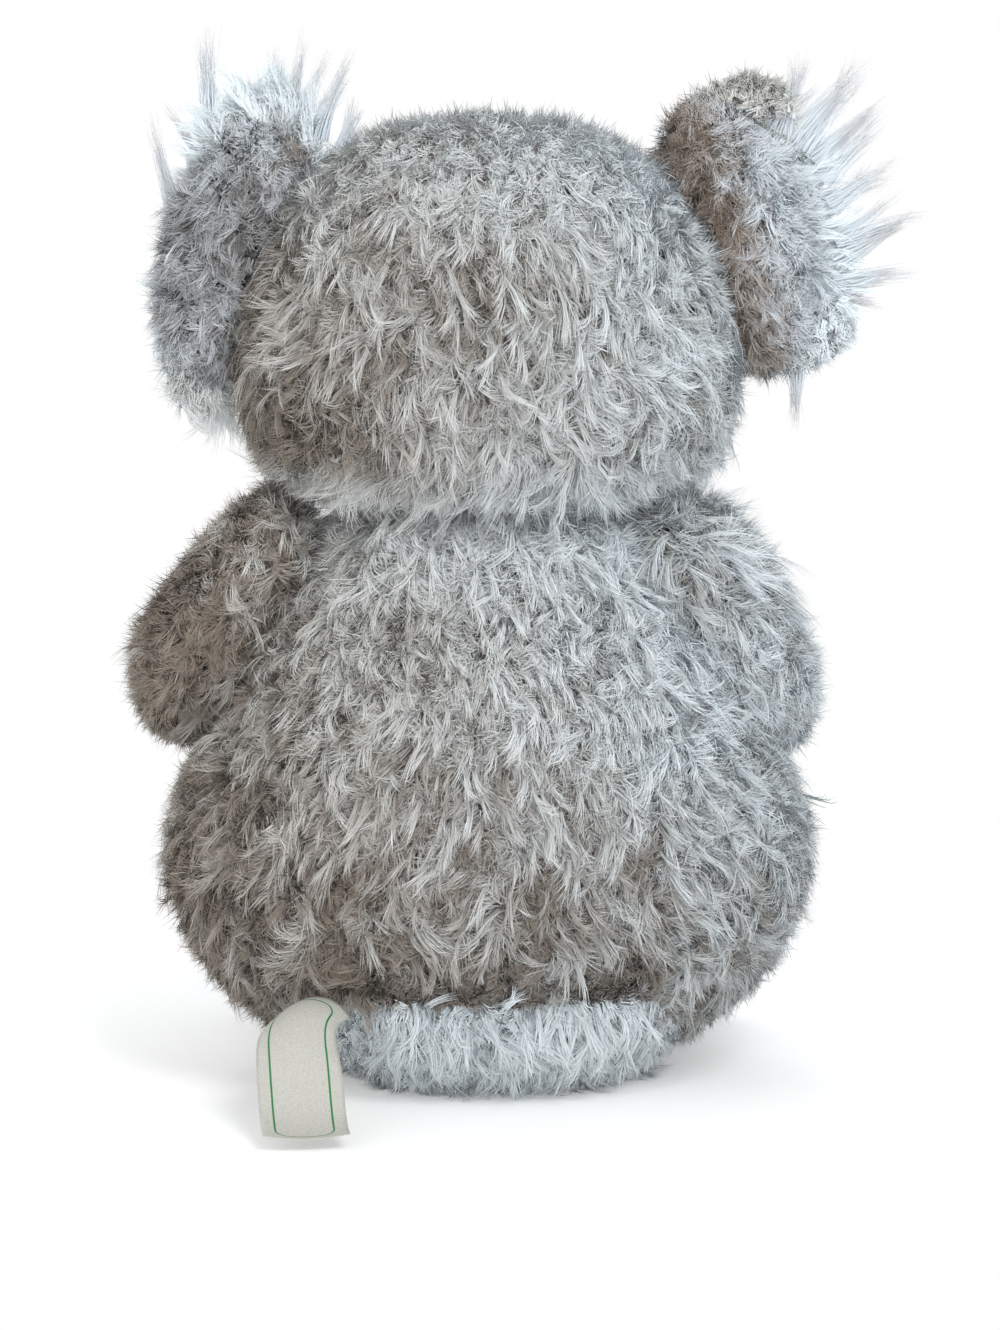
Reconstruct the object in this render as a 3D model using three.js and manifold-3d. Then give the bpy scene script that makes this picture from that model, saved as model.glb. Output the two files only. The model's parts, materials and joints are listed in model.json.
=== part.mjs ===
// A plush koala that sits upright on its seat, made of fur panels sewn round stuffing.
// Millimetres, +Z up. It faces -Y, so its left side is +X. The origin is under its middle, on the floor.
import * as THREE from "three";
import { mergeVertices } from "three/addons/utils/BufferGeometryUtils.js";
import Module from "manifold-3d";

const wasm = await Module();
wasm.setup();

// Driving dimensions, with angles in degrees

const gap = 0.3; // between pieces that touch
const fur = 6.5; // a panel's backing with the pile that lies on it
const flatCut = 0.5; // what the floor takes off a form that stands on it

const torso = { height: 192, halfWidth: 97, front: 76, back: 82, sideSeam: -24 };
// The body's top is round about the line that the head nods on, and the neck's gap lets its facets turn
const neck = { back: -2, radius: 42, halfWidth: 60, collar: 12, gap: 0.6 };
const nod = { back: -10, forward: 14 };
const seat = { halfWidth: 62, halfDepth: 75, back: 3, rise: 60 };

const head = { height: 122, halfWidth: 76, front: 64, back: 62, sunk: 16, sideSeam: -16 };
// Each rise here and at the ears is above the head's lowest point
const muzzle = { halfWidth: 26, halfHeight: 19, depth: 17, rise: 28, front: 58 };
const nose = { halfWidth: 14, halfHeight: 20, depth: 11, rise: 51, sink: 2 };
const eye = { radius: 6.5, depth: 5, across: 27, rise: 72, sink: 1 };
const peg = { radius: 2, length: 13, tip: 2.5 }; // the stem of an eye or of the nose
const washer = { radius: 8, thickness: 1.6, hole: 2.4, depth: 7.6 };

const shoulder = { across: 58, back: 5, up: 158, tilt: 29 }; // the tilt is the flank's
const arm = { length: 80, drop: 42, wide: 25, thick: 20, seam: 13, clear: 1.5, sweep: 4 };
const armReach = { left: 12, right: 3 }; // how far each arm's middle stands off the flank
const swing = { back: -12, up: 40 };

const hip = { across: 44, back: -46, up: 41, splay: 7 };
const leg = { start: -30, length: 84, radius: 27, seam: 29, sole: 66, sweep: 2 };
const kick = { down: 0, up: 30 };

const earRoot = { across: 68.5, back: 0, rise: 86, lean: 16, gap: 0.6 };
const earPad = { backThickness: 18, frontThickness: 9, inset: 18, sweep: 2 };
const ears = {
  left: { backHalf: 46, backReach: 27, frontHalf: 50, frontReach: 29, shift: -9 },
  right: { backHalf: 43, backReach: 28, frontHalf: 47, frontReach: 50, shift: -5 },
};
const fold = { forward: -25, back: 25 };

const label = { width: 25, length: 68, thickness: 0.7, across: 49, heading: 97, steps: 12 };
const labelTurnShare = 0.4; // how much of the label turns from square to the seam to its heading
const labelSlopeShare = 0.71; // how far it comes down where it is steepest, beside the cloth's length there
const lift = { down: 0, up: 40 };

// Facets round each form, and rings along it
const facets = {
  torso: [20, 12],
  neck: [36, 8],
  seat: [20, 4],
  head: [20, 11],
  nose: [16, 8],
  muzzle: [16, 8],
  ear: [14, 7],
  limb: [12, 9],
  pegSides: 8,
  eyeSides: 16,
};

// Outlines of the upright forms from the bottom up: height, half width, front and back
const torsoShares = [
  [0, 0, 0, 0],
  [0, 0.44, 0.42, 0.42],
  [0.03, 0.57, 0.6, 0.61],
  [0.1, 0.75, 0.82, 0.8],
  [0.2, 0.92, 0.96, 0.94],
  [0.33, 1.02, 1.02, 1.01],
  [0.46, 0.985, 0.985, 0.99],
  [0.58, 0.87, 0.9, 0.91],
  [0.7, 0.755, 0.76, 0.78],
  [0.81, 0.63, 0.58, 0.58],
  [0.9, 0.49, 0.42, 0.42],
  [0.965, 0.29, 0.26, 0.26],
  [0.99, 0, 0, 0],
];
const headShares = [
  [0, 0, 0, 0],
  [0.01, 0.46, 0.42, 0.42],
  [0.055, 0.75, 0.72, 0.72],
  [0.14, 0.925, 0.93, 0.9],
  [0.26, 1, 1.04, 0.98],
  [0.4, 1.005, 1.05, 1.01],
  [0.54, 0.975, 1, 1],
  [0.67, 0.905, 0.93, 0.94],
  [0.79, 0.79, 0.8, 0.82],
  [0.89, 0.62, 0.62, 0.64],
  [0.965, 0.38, 0.38, 0.4],
  [1, 0, 0, 0],
];

// Along an arm from the shoulder: how far down and forward, how far off the flank, and its radius
const armShares = [
  [-0.42, 0.02, 0.5, 0],
  [-0.38, 0.02, 0.6, 0.5],
  [-0.14, 0.01, 0.8, 0.88],
  [0.34, -0.02, 1, 1.02],
  [0.85, 0.08, 1.05, 1.08],
  [1.1, 0.42, 0.8, 1],
  [1.08, 0.76, 0.1, 0.88],
  [1, 0.98, -0.5, 0.68],
  [0.98, 1.09, -0.75, 0],
];

// Along a leg from inside the body: how far forward, half width, half height and the height of its middle
const legShares = [
  [-0.04, 0, 0, 1.15],
  [0, 0.5, 0.5, 1.12],
  [0.14, 0.88, 0.92, 1.07],
  [0.36, 1, 1.02, 1.03],
  [0.58, 0.98, 0.98, 0.98],
  [0.78, 0.93, 0.99, 0.99],
  [0.97, 0.97, 1.12, 1.12],
  [1.08, 0.82, 0.98, 1.12],
  [1.13, 0, 0, 1.12],
];

const sides = { left: 1, right: -1 };
const degree = Math.PI / 180;
const upward = vector(0, 0, 1);

const neckUp = torso.height - neck.radius; // the height of the line that the head nods on
const headUp = torso.height - head.sunk; // the height of the head's lowest point, before the neck cuts it

function vector(x, y, z) {
  return new THREE.Vector3(x, y, z);
}

// Materials

function paint(color, roughness) {
  return () => new THREE.MeshStandardMaterial({ color, roughness, metalness: 0 });
}

const greyFur = paint(0x9d9691, 0.95);
const earFur = paint(0x857b74, 0.95);
const whiteFur = paint(0xe9edee, 0.95);
const wadding = paint(0xf4f2ec, 1);
const blackPlastic = paint(0x141210, 0.25);
const palePlastic = paint(0xd8d8d4, 0.5);
const satin = paint(0xf0f0ea, 0.55);

// Solids

function welded(geometry) {
  const bare = geometry.clone();
  bare.deleteAttribute("normal");
  bare.deleteAttribute("uv");
  return mergeVertices(bare);
}

function solid(geometry) {
  const { index, attributes } = welded(geometry);
  const vertProperties = new Float32Array(attributes.position.array);
  const triVerts = new Uint32Array(index.array);
  return new wasm.Manifold(new wasm.Mesh({ numProp: 3, vertProperties, triVerts }));
}

const root = new THREE.Group();
root.userData.hinges = {}; // each joint's point, axis and range, with the angles that go up or back positive

function add(name, shape, finish) {
  const { vertProperties, triVerts, numProp } = shape.getMesh();
  const geometry = new THREE.BufferGeometry();
  geometry.setAttribute("position", new THREE.BufferAttribute(new Float32Array(vertProperties), numProp));
  geometry.setIndex(new THREE.BufferAttribute(new Uint32Array(triVerts), 1));
  geometry.computeVertexNormals();
  const mesh = new THREE.Mesh(geometry, finish());
  mesh.name = name;
  root.add(mesh);
}

function addHinge(name, point, axis, low, high) {
  root.userData.hinges[name] = { point, axis, low, high };
  return root.userData.hinges[name];
}

// A closed round form: place(angle, share) puts the points of rings from one pole, at share 0, to the other
function form(segments, rings, place) {
  const geometry = new THREE.SphereGeometry(1, segments, rings);
  const { position } = geometry.attributes;
  for (let i = 0; i < position.count; i += 1) {
    const [x, y, z] = [position.getX(i), position.getY(i), position.getZ(i)];
    const share = 1 - Math.acos(THREE.MathUtils.clamp(y, -1, 1)) / Math.PI;
    const point = place(Math.atan2(-z, x), share);
    position.setXYZ(i, point.x, point.y, point.z);
  }
  const closed = welded(geometry);
  closed.computeVertexNormals();
  return closed;
}

// The form with its surface moved outwards, or inwards where the distance is negative
function grown(shape, distance) {
  const geometry = shape.clone();
  const { position, normal } = geometry.attributes;
  const point = new THREE.Vector3();
  const out = new THREE.Vector3();
  for (let i = 0; i < position.count; i += 1) {
    out.fromBufferAttribute(normal, i);
    point.fromBufferAttribute(position, i).addScaledVector(out, distance);
    position.setXYZ(i, point.x, point.y, point.z);
  }
  return geometry;
}

// A smooth row of values at a share of the way down a table
function between(rows, share) {
  const along = share * (rows.length - 1);
  const first = Math.min(Math.floor(along), rows.length - 2);
  const t = along - first;
  const row = (k) => rows[THREE.MathUtils.clamp(k, 0, rows.length - 1)];
  const [a, b, c, d] = [row(first - 1), row(first), row(first + 1), row(first + 2)];
  return b.map((value, k) => {
    const slope = c[k] - a[k];
    const bend = 2 * a[k] - 5 * value + 4 * c[k] - d[k];
    const twist = 3 * value - a[k] - 3 * c[k] + d[k];
    return (2 * value + slope * t + bend * t ** 2 + twist * t ** 3) / 2;
  });
}

function upright(shares, size, bottom, segments, rings) {
  return form(segments, rings, (angle, share) => {
    const [rise, side, front, back] = between(shares, share);
    const depth = Math.sin(angle) > 0 ? back * size.back : front * size.front;
    const across = Math.cos(angle) * side * size.halfWidth;
    return vector(across, Math.sin(angle) * depth, bottom + rise * size.height);
  });
}

// A form swept along a limb. at(share) gives its middle and radii, and over is the way of thick.
function limb(segments, rings, at, over) {
  const step = 1 / (2 * rings);
  return form(segments, rings, (angle, share) => {
    const { centre, wide, thick } = at(share);
    const along = at(Math.min(share + step, 1)).centre.clone();
    along.sub(at(Math.max(share - step, 0)).centre).normalize();
    const across = new THREE.Vector3().crossVectors(over, along).normalize();
    const up = new THREE.Vector3().crossVectors(along, across);
    const point = centre.clone().addScaledVector(across, Math.cos(angle) * Math.max(wide, 0));
    return point.addScaledVector(up, Math.sin(angle) * Math.max(thick, 0));
  });
}

// All that lies beyond a point in a direction
function beyond(point, direction) {
  const size = 4 * torso.height;
  const geometry = new THREE.BoxGeometry(size, size, size);
  geometry.translate(0, 0, size / 2);
  geometry.applyQuaternion(new THREE.Quaternion().setFromUnitVectors(upward, direction));
  geometry.translate(point.x, point.y, point.z);
  return solid(geometry);
}

function turned(shape, hinge, angle) {
  const turn = new THREE.Quaternion().setFromAxisAngle(hinge.axis, angle * degree);
  const geometry = shape.clone();
  geometry.translate(-hinge.point.x, -hinge.point.y, -hinge.point.z);
  geometry.applyQuaternion(turn);
  return geometry.translate(hinge.point.x, hinge.point.y, hinge.point.z);
}

// What a larger form sweeps in some steps, seen from the piece that the hinge carries
function swept(shape, hinge, steps) {
  let all = solid(turned(shape, hinge, -hinge.low));
  for (let i = 1; i <= steps; i += 1) {
    all = all.add(solid(turned(shape, hinge, -THREE.MathUtils.lerp(hinge.low, hinge.high, i / steps))));
  }
  return all;
}

// A stuffed form as its skin, with its inside open, and its stuffing. cut(shape, depth) trims each layer.
function stuffed(shape, cut) {
  const outer = cut(solid(shape), 0);
  const inner = cut(solid(grown(shape, -fur)), fur);
  const filling = cut(solid(grown(shape, -fur - gap)), fur + gap);
  return { skin: outer.subtract(inner.add(filling)), filling };
}

// Both sides of a seam, a gap apart
function seam(point, direction) {
  const back = direction.clone().negate();
  const ahead = point.clone().addScaledVector(direction, gap / 2);
  const behind = point.clone().addScaledVector(back, gap / 2);
  return [beyond(ahead, direction), beyond(behind, back)];
}

const [leftSide, rightSide] = seam(vector(0, 0, 0), vector(1, 0, 0));

// Body

const torsoForm = upright(torsoShares, torso, -flatCut, ...facets.torso);
const neckForm = form(...facets.neck, (angle, share) => {
  const turn = share * Math.PI;
  const radius = Math.sin(turn) * neck.radius;
  return vector(
    -Math.cos(turn) * neck.halfWidth,
    neck.back - Math.sin(angle) * radius,
    neckUp + Math.cos(angle) * radius,
  );
});

// An arm's own directions: down the flank, forward and off the flank
function flank(side) {
  const [sine, cosine] = [Math.sin(shoulder.tilt * degree), Math.cos(shoulder.tilt * degree)];
  return {
    point: vector(side * shoulder.across, shoulder.back, shoulder.up),
    down: vector(side * sine, 0, -cosine),
    forward: vector(0, -1, 0),
    axis: vector(side * cosine, 0, sine),
  };
}

function torsoCut(shape, depth) {
  const shoulders = beyond(vector(0, 0, neckUp + neck.collar - depth), vector(0, 0, -1));
  let trimmed = shape.intersect(shoulders.add(solid(grown(neckForm, -depth))));
  for (const side of Object.values(sides)) {
    const { point, axis } = flank(side);
    trimmed = trimmed.subtract(beyond(point.clone().addScaledVector(axis, -depth), axis));
  }
  return trimmed.intersect(beyond(vector(0, 0, depth), upward));
}

const torsoLayers = stuffed(torsoForm, torsoCut);

// The seat panel's outline from above is a rounded oblong
const seatPrism = form(...facets.seat, (angle, share) => {
  const round = (value) => Math.sign(value) * Math.abs(value) ** (2 / 3);
  const flat = Math.min(1, Math.sin(share * Math.PI) * 4);
  return vector(
    round(Math.cos(angle)) * seat.halfWidth * flat,
    round(Math.sin(angle)) * seat.halfDepth * flat + seat.back,
    (share - 0.5) * 2 * seat.rise,
  );
});
const seatCut = { inside: solid(grown(seatPrism, -gap / 2)), outside: solid(grown(seatPrism, gap / 2)) };
const [backSide, bellySide] = seam(vector(0, torso.sideSeam, 0), vector(0, 1, 0));

const upperSkin = torsoLayers.skin.subtract(seatCut.outside);
add("back_panel_left", upperSkin.intersect(backSide).intersect(leftSide), greyFur);
add("back_panel_right", upperSkin.intersect(backSide).intersect(rightSide), greyFur);
add("belly_panel", upperSkin.intersect(bellySide), whiteFur);
add("seat_panel", torsoLayers.skin.intersect(seatCut.inside), whiteFur);
add("body_stuffing", torsoLayers.filling, wadding);

// Label, sewn into the seat's seam, from where it slopes to the floor and lies there

const seamReach = seat.back + seat.halfDepth * (1 - (label.across / seat.halfWidth) ** 3) ** (1 / 3);
const [seamHit] = new THREE.Raycaster(vector(label.across, seamReach, -torso.height), upward).intersectObject(
  new THREE.Mesh(torsoForm, new THREE.MeshBasicMaterial()),
);
const labelRoot = seamHit.point.clone().addScaledVector(seamHit.face.normal, gap + label.thickness);

function labelPath() {
  const first = Math.atan2(seamHit.face.normal.y, seamHit.face.normal.x);
  const step = label.length / label.steps;
  const low = gap + label.thickness / 2;
  const slope = (1.5 * (labelRoot.z - low)) / labelSlopeShare; // a smooth step is 1.5 times as steep in its middle
  const path = [];
  const spot = labelRoot.clone();
  for (let i = 0; i <= label.steps; i += 1) {
    const turn = THREE.MathUtils.smoothstep(i / label.steps, 0, labelTurnShare);
    const heading = THREE.MathUtils.lerp(first, label.heading * degree, turn);
    const ahead = vector(Math.cos(heading), Math.sin(heading), 0);
    path.push({ spot: spot.clone(), ahead });
    const fall = THREE.MathUtils.smoothstep((i + 1) * step, 0, slope);
    const next = THREE.MathUtils.lerp(labelRoot.z, low, fall);
    spot.addScaledVector(ahead, Math.sqrt(step ** 2 - (spot.z - next) ** 2)).setZ(next);
  }
  return path;
}

function labelForm() {
  const path = labelPath();
  const geometry = new THREE.BoxGeometry(label.width, label.steps, label.thickness, 1, label.steps, 1);
  const { position } = geometry.attributes;
  for (let i = 0; i < position.count; i += 1) {
    const { spot, ahead } = path[Math.round(position.getY(i) + label.steps / 2)];
    const point = spot.clone().addScaledVector(vector(ahead.y, -ahead.x, 0), position.getX(i));
    position.setXYZ(i, point.x, point.y, point.z + position.getZ(i));
  }
  return geometry;
}

add("care_label", solid(labelForm()), satin);
addHinge("label_lift", labelRoot, labelPath()[0].ahead.clone().cross(upward), lift.down, lift.up);

// Head

const neckHinge = addHinge("head_nod", vector(0, neck.back, neckUp), vector(1, 0, 0), nod.back, nod.forward);
const headForm = upright(headShares, head, headUp, ...facets.head);

function headCut(shape, depth) {
  return shape.subtract(solid(grown(neckForm, depth + neck.gap)));
}

const headLayers = stuffed(headForm, headCut);

// Where a line towards the head's middle plane meets the face, and the way that the face looks there
function onFace(across, rise) {
  const ray = new THREE.Raycaster(vector(across, -2 * head.front, headUp + rise), vector(0, 1, 0));
  const [hit] = ray.intersectObject(new THREE.Mesh(headForm, new THREE.MeshBasicMaterial()));
  return { point: hit.point, direction: hit.face.normal.clone() };
}

// A turned shape whose +Y stands on the face at a point
function standing(geometry, { point, direction }) {
  geometry.applyQuaternion(new THREE.Quaternion().setFromUnitVectors(vector(0, 1, 0), direction));
  return solid(geometry.translate(point.x, point.y, point.z));
}

function turnedProfile(points, segments) {
  return new THREE.LatheGeometry(points.map(([radius, up]) => new THREE.Vector2(radius, up)), segments);
}

function pegShape(spare) {
  const [radius, foot] = [peg.radius + spare, -peg.length - spare];
  return turnedProfile([[0, foot], [radius, foot], [radius, peg.tip], [0, peg.tip]], facets.pegSides);
}

function eyeDome(spare) {
  const [radius, rise] = [eye.radius + spare, eye.depth + spare];
  const bend = [0, 1, 2, 3, 4].map((k) => (k / 4) * (Math.PI / 2));
  const top = bend.map((turn) => [radius * Math.cos(turn), rise * Math.sin(turn) - eye.sink]);
  return turnedProfile([[0, -eye.sink - spare], [radius, -eye.sink - spare], ...top], facets.eyeSides);
}

function washerShape(spare) {
  const [low, high] = [-washer.depth - washer.thickness - spare, -washer.depth + spare];
  const [hole, rim] = [washer.hole, washer.radius + spare];
  return turnedProfile([[hole, low], [rim, low], [rim, high], [hole, high], [hole, low]], facets.eyeSides);
}

function washerPocket() {
  const [low, high, rim] = [-washer.depth - washer.thickness - gap, -washer.depth + gap, washer.radius + gap];
  return turnedProfile([[0, low], [rim, low], [rim, high], [0, high]], facets.eyeSides);
}

const nosePlace = onFace(0, nose.rise);
nosePlace.direction.set(0, nosePlace.direction.y, nosePlace.direction.z).normalize();

function noseDome(spare) {
  return form(...facets.nose, (angle, share) => {
    const turn = share * Math.PI;
    return vector(
      Math.sin(turn) * Math.cos(angle) * (nose.halfWidth + spare),
      -Math.cos(turn) * (nose.depth + spare) - nose.sink + nose.depth / 4,
      -Math.sin(turn) * Math.sin(angle) * (nose.halfHeight + spare),
    );
  });
}

const headPad = solid(grown(headForm, gap));
const noseSolid = standing(noseDome(0), nosePlace).subtract(headPad).add(standing(pegShape(0), nosePlace));
const nosePocket = standing(noseDome(gap), nosePlace);

function muzzleForm() {
  return form(...facets.muzzle, (angle, share) => {
    const turn = share * Math.PI;
    return vector(
      -Math.cos(turn) * muzzle.halfWidth,
      -muzzle.front - Math.sin(turn) * Math.sin(angle) * muzzle.depth,
      headUp + muzzle.rise + Math.sin(turn) * Math.cos(angle) * muzzle.halfHeight,
    );
  });
}

const muzzleSolid = solid(muzzleForm()).subtract(headPad).subtract(nosePocket);

let faceHoles = standing(pegShape(gap), nosePlace).add(standing(washerPocket(), nosePlace));
for (const [name, side] of Object.entries(sides)) {
  const place = onFace(side * eye.across, eye.rise);
  const peep = standing(eyeDome(0), place).add(standing(pegShape(0), place));
  add(`eye_${name}`, peep, blackPlastic);
  add(`eye_washer_${name}`, standing(washerShape(0), place), palePlastic);
  for (const hole of [eyeDome(gap), pegShape(gap), washerPocket()]) {
    faceHoles = faceHoles.add(standing(hole, place));
  }
}
add("nose", noseSolid, blackPlastic);
add("nose_washer", standing(washerShape(0), nosePlace), palePlastic);
add("muzzle_panel", muzzleSolid, whiteFur);

const [headBackSide, faceSide] = seam(vector(0, head.sideSeam, 0), vector(0, 1, 0));
add("head_panel_left", headLayers.skin.intersect(headBackSide).intersect(leftSide), greyFur);
add("head_panel_right", headLayers.skin.intersect(headBackSide).intersect(rightSide), greyFur);
add("face_panel", headLayers.skin.intersect(faceSide).subtract(faceHoles), greyFur);
add("head_stuffing", headLayers.filling.subtract(faceHoles), wadding);

// Ears: two pads back to back, on a hinge along the head's side

function earFrame(side) {
  const lean = earRoot.lean * degree;
  return {
    point: vector(side * earRoot.across, earRoot.back, headUp + earRoot.rise),
    along: vector(-side * Math.sin(lean), 0, Math.cos(lean)),
    out: vector(side * Math.cos(lean), 0, Math.sin(lean)),
  };
}

function earForm(side, half, reach, shift, thickness) {
  const { point, along, out } = earFrame(side);
  const [middle, radius] = [(reach - earPad.inset) / 2, (reach + earPad.inset) / 2];
  return form(...facets.ear, (angle, share) => {
    const turn = share * Math.PI;
    const spot = point.clone().addScaledVector(along, shift - Math.cos(turn) * half);
    spot.addScaledVector(out, middle + Math.sin(turn) * Math.cos(angle) * radius);
    spot.y += side * Math.sin(turn) * Math.sin(angle) * thickness;
    return spot;
  });
}

const headSpread = grown(headForm, earRoot.gap);
const [earBackSide, earFrontSide] = seam(vector(0, earRoot.back, 0), vector(0, 1, 0));
for (const [name, side] of Object.entries(sides)) {
  const { backHalf, backReach, frontHalf, frontReach, shift } = ears[name];
  const { point, along } = earFrame(side);
  const hinge = addHinge(`ear_fold_${name}`, point, along.multiplyScalar(side), fold.forward, fold.back);
  const headSweep = swept(headSpread, hinge, earPad.sweep);
  const behind = solid(earForm(side, backHalf, backReach, shift, earPad.backThickness));
  const ahead = solid(earForm(side, frontHalf, frontReach, shift, earPad.frontThickness));
  add(`ear_back_${name}`, behind.intersect(earBackSide).subtract(headSweep), earFur);
  add(`ear_front_${name}`, ahead.intersect(earFrontSide).subtract(headSweep), whiteFur);
}

// Arms: each lies on the flat of the flank and swings about the line that stands on it

function armForm(name) {
  const { point, down, forward, axis } = flank(sides[name]);
  const at = (share) => {
    const [fall, run, off, round] = between(armShares, share);
    const centre = point.clone().addScaledVector(down, fall * arm.drop);
    centre.addScaledVector(forward, run * arm.length).addScaledVector(axis, off * armReach[name]);
    return { centre, wide: round * arm.wide, thick: round * arm.thick };
  };
  return limb(...facets.limb, at, axis);
}

for (const [name, side] of Object.entries(sides)) {
  const { point, axis } = flank(side);
  const raise = axis.clone().multiplyScalar(-side);
  const hinge = addHinge(`arm_swing_${name}`, point, raise, swing.back, swing.up);
  const armCut = (shape, depth) => {
    const flat = beyond(point.clone().addScaledVector(axis, depth + gap), axis);
    const body = swept(grown(torsoForm, depth + arm.clear), hinge, arm.sweep);
    return shape.subtract(body.subtract(flat)).subtract(headPad);
  };
  const { skin, filling } = stuffed(armForm(name), armCut);
  const [outerSide, innerSide] = seam(point.clone().addScaledVector(axis, arm.seam), axis);
  add(`arm_outer_panel_${name}`, skin.intersect(outerSide), greyFur);
  add(`arm_inner_panel_${name}`, skin.intersect(innerSide), greyFur);
  add(`arm_stuffing_${name}`, filling, wadding);
}

// Legs: each lies forward on the floor from the front of the body

function legFrame(side) {
  const splay = hip.splay * degree;
  return {
    point: vector(side * hip.across, hip.back, hip.up),
    ahead: vector(side * Math.sin(splay), -Math.cos(splay), 0),
  };
}

function legForm(side) {
  const { point, ahead } = legFrame(side);
  const at = (share) => {
    const [run, wide, high, middle] = between(legShares, share);
    const centre = point.clone().addScaledVector(ahead, leg.start + run * leg.length);
    centre.z = middle * leg.radius - flatCut;
    return { centre, wide: wide * leg.radius, thick: high * leg.radius };
  };
  return limb(...facets.limb, at, upward);
}

for (const [name, side] of Object.entries(sides)) {
  const { point, ahead } = legFrame(side);
  const hinge = addHinge(`leg_lift_${name}`, point, ahead.clone().cross(upward), kick.down, kick.up);
  const legCut = (shape, depth) => {
    const body = swept(grown(torsoForm, depth + gap), hinge, leg.sweep);
    return shape.subtract(body).intersect(beyond(vector(0, 0, depth), upward));
  };
  const { skin, filling } = stuffed(legForm(side), legCut);
  const [top, bottom] = seam(vector(0, 0, leg.seam), upward);
  const [soleSide, shinSide] = seam(point.clone().addScaledVector(ahead, leg.start + leg.sole), ahead);
  add(`leg_upper_panel_${name}`, skin.intersect(top).intersect(shinSide), greyFur);
  add(`leg_lower_panel_${name}`, skin.intersect(bottom).intersect(shinSide), greyFur);
  add(`foot_sole_${name}`, skin.intersect(soleSide), whiteFur);
  add(`leg_stuffing_${name}`, filling, wadding);
}

export default root;
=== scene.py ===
# The looks of a plush koala that sits on its seat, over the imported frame.
# Metres, +Z up. It faces -Y, so its left side is +X, and the camera stands behind it.
import json
import math
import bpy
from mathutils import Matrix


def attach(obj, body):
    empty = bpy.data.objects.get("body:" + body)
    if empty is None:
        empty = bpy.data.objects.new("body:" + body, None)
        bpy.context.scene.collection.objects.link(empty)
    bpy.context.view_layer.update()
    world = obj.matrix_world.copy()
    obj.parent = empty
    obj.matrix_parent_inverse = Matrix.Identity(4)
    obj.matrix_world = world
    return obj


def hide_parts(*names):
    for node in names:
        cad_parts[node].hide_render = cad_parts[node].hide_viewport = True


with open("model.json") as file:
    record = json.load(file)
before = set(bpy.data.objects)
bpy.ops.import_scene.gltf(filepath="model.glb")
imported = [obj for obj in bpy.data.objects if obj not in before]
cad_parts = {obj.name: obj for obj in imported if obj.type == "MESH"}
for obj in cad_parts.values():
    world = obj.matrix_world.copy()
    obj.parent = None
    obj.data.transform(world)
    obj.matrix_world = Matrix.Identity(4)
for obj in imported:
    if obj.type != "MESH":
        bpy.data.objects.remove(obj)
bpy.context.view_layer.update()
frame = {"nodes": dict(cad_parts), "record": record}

from types import SimpleNamespace as Named

import bmesh
import bpy
import numpy as np
from mathutils import Matrix, Vector
from mathutils.bvhtree import BVHTree
from mathutils.kdtree import KDTree

# Driving dimensions, the same as the solids have

degree = math.pi / 180

torso = Named(height=0.192, half_width=0.097, front=0.076, back=0.082)
head = Named(height=0.122, half_width=0.076, front=0.064, back=0.062, sunk=0.016)
muzzle = Named(half_width=0.026, half_height=0.019, depth=0.017, rise=0.028, front=0.058)
nose = Named(
    half_width=0.014, half_height=0.02, depth=0.011, rise=0.051, sink=0.002, proud=1.25, roundness=0.9,
    base_share=0.96,
)
eye = Named(radius=0.0065, depth=0.005, across=0.027, rise=0.072, sink=0.001, base_share=0.97)
peg = Named(radius=0.002, length=0.013, chamfer=0.0005)
washer = Named(radius=0.008, thickness=0.0016, hole=0.0024, depth=0.0076, edge=0.0004)
shoulder = Named(across=0.058, back=0.005, up=0.158, tilt=29 * degree)
arm = Named(length=0.08, drop=0.042, wide=0.025, thick=0.02, reach={1: 0.012, -1: 0.003})
hip = Named(across=0.044, back=-0.046, splay=7 * degree)
leg = Named(start=-0.03, length=0.084, radius=0.027)
ear = Named(across=0.0685, rise=0.086, lean=16 * degree, inset=0.018, back_thickness=0.018, front_thickness=0.009)
ears = {
    1: Named(back_half=0.046, back_reach=0.027, front_half=0.05, front_reach=0.029, shift=-0.009),
    -1: Named(back_half=0.043, back_reach=0.028, front_half=0.047, front_reach=0.05, shift=-0.005),
}
label = Named(
    width=0.025, length=0.068, thickness=0.0007, across=0.049, heading=97 * degree, turn_share=0.4,
    slope_share=0.71, curl=0.0015, root_curl=0.3, lift_end=0.03, lift_from=0.7, cloth=0.0003, fold=120 * degree,
    fold_ends=(0.05, 0.7), least_fold=0.001,
)
border = Named(margin=0.004, radius=0.004, half_line=0.0003)  # the line printed on the label
seat = Named(half_width=0.062, half_depth=0.075, back=0.003)
flat_cut = 0.0005  # what the floor takes off a form that stands on it
gap = 0.0003  # between pieces that touch

head_up = torso.height - head.sunk
side_names = {1: "left", -1: "right"}

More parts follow.
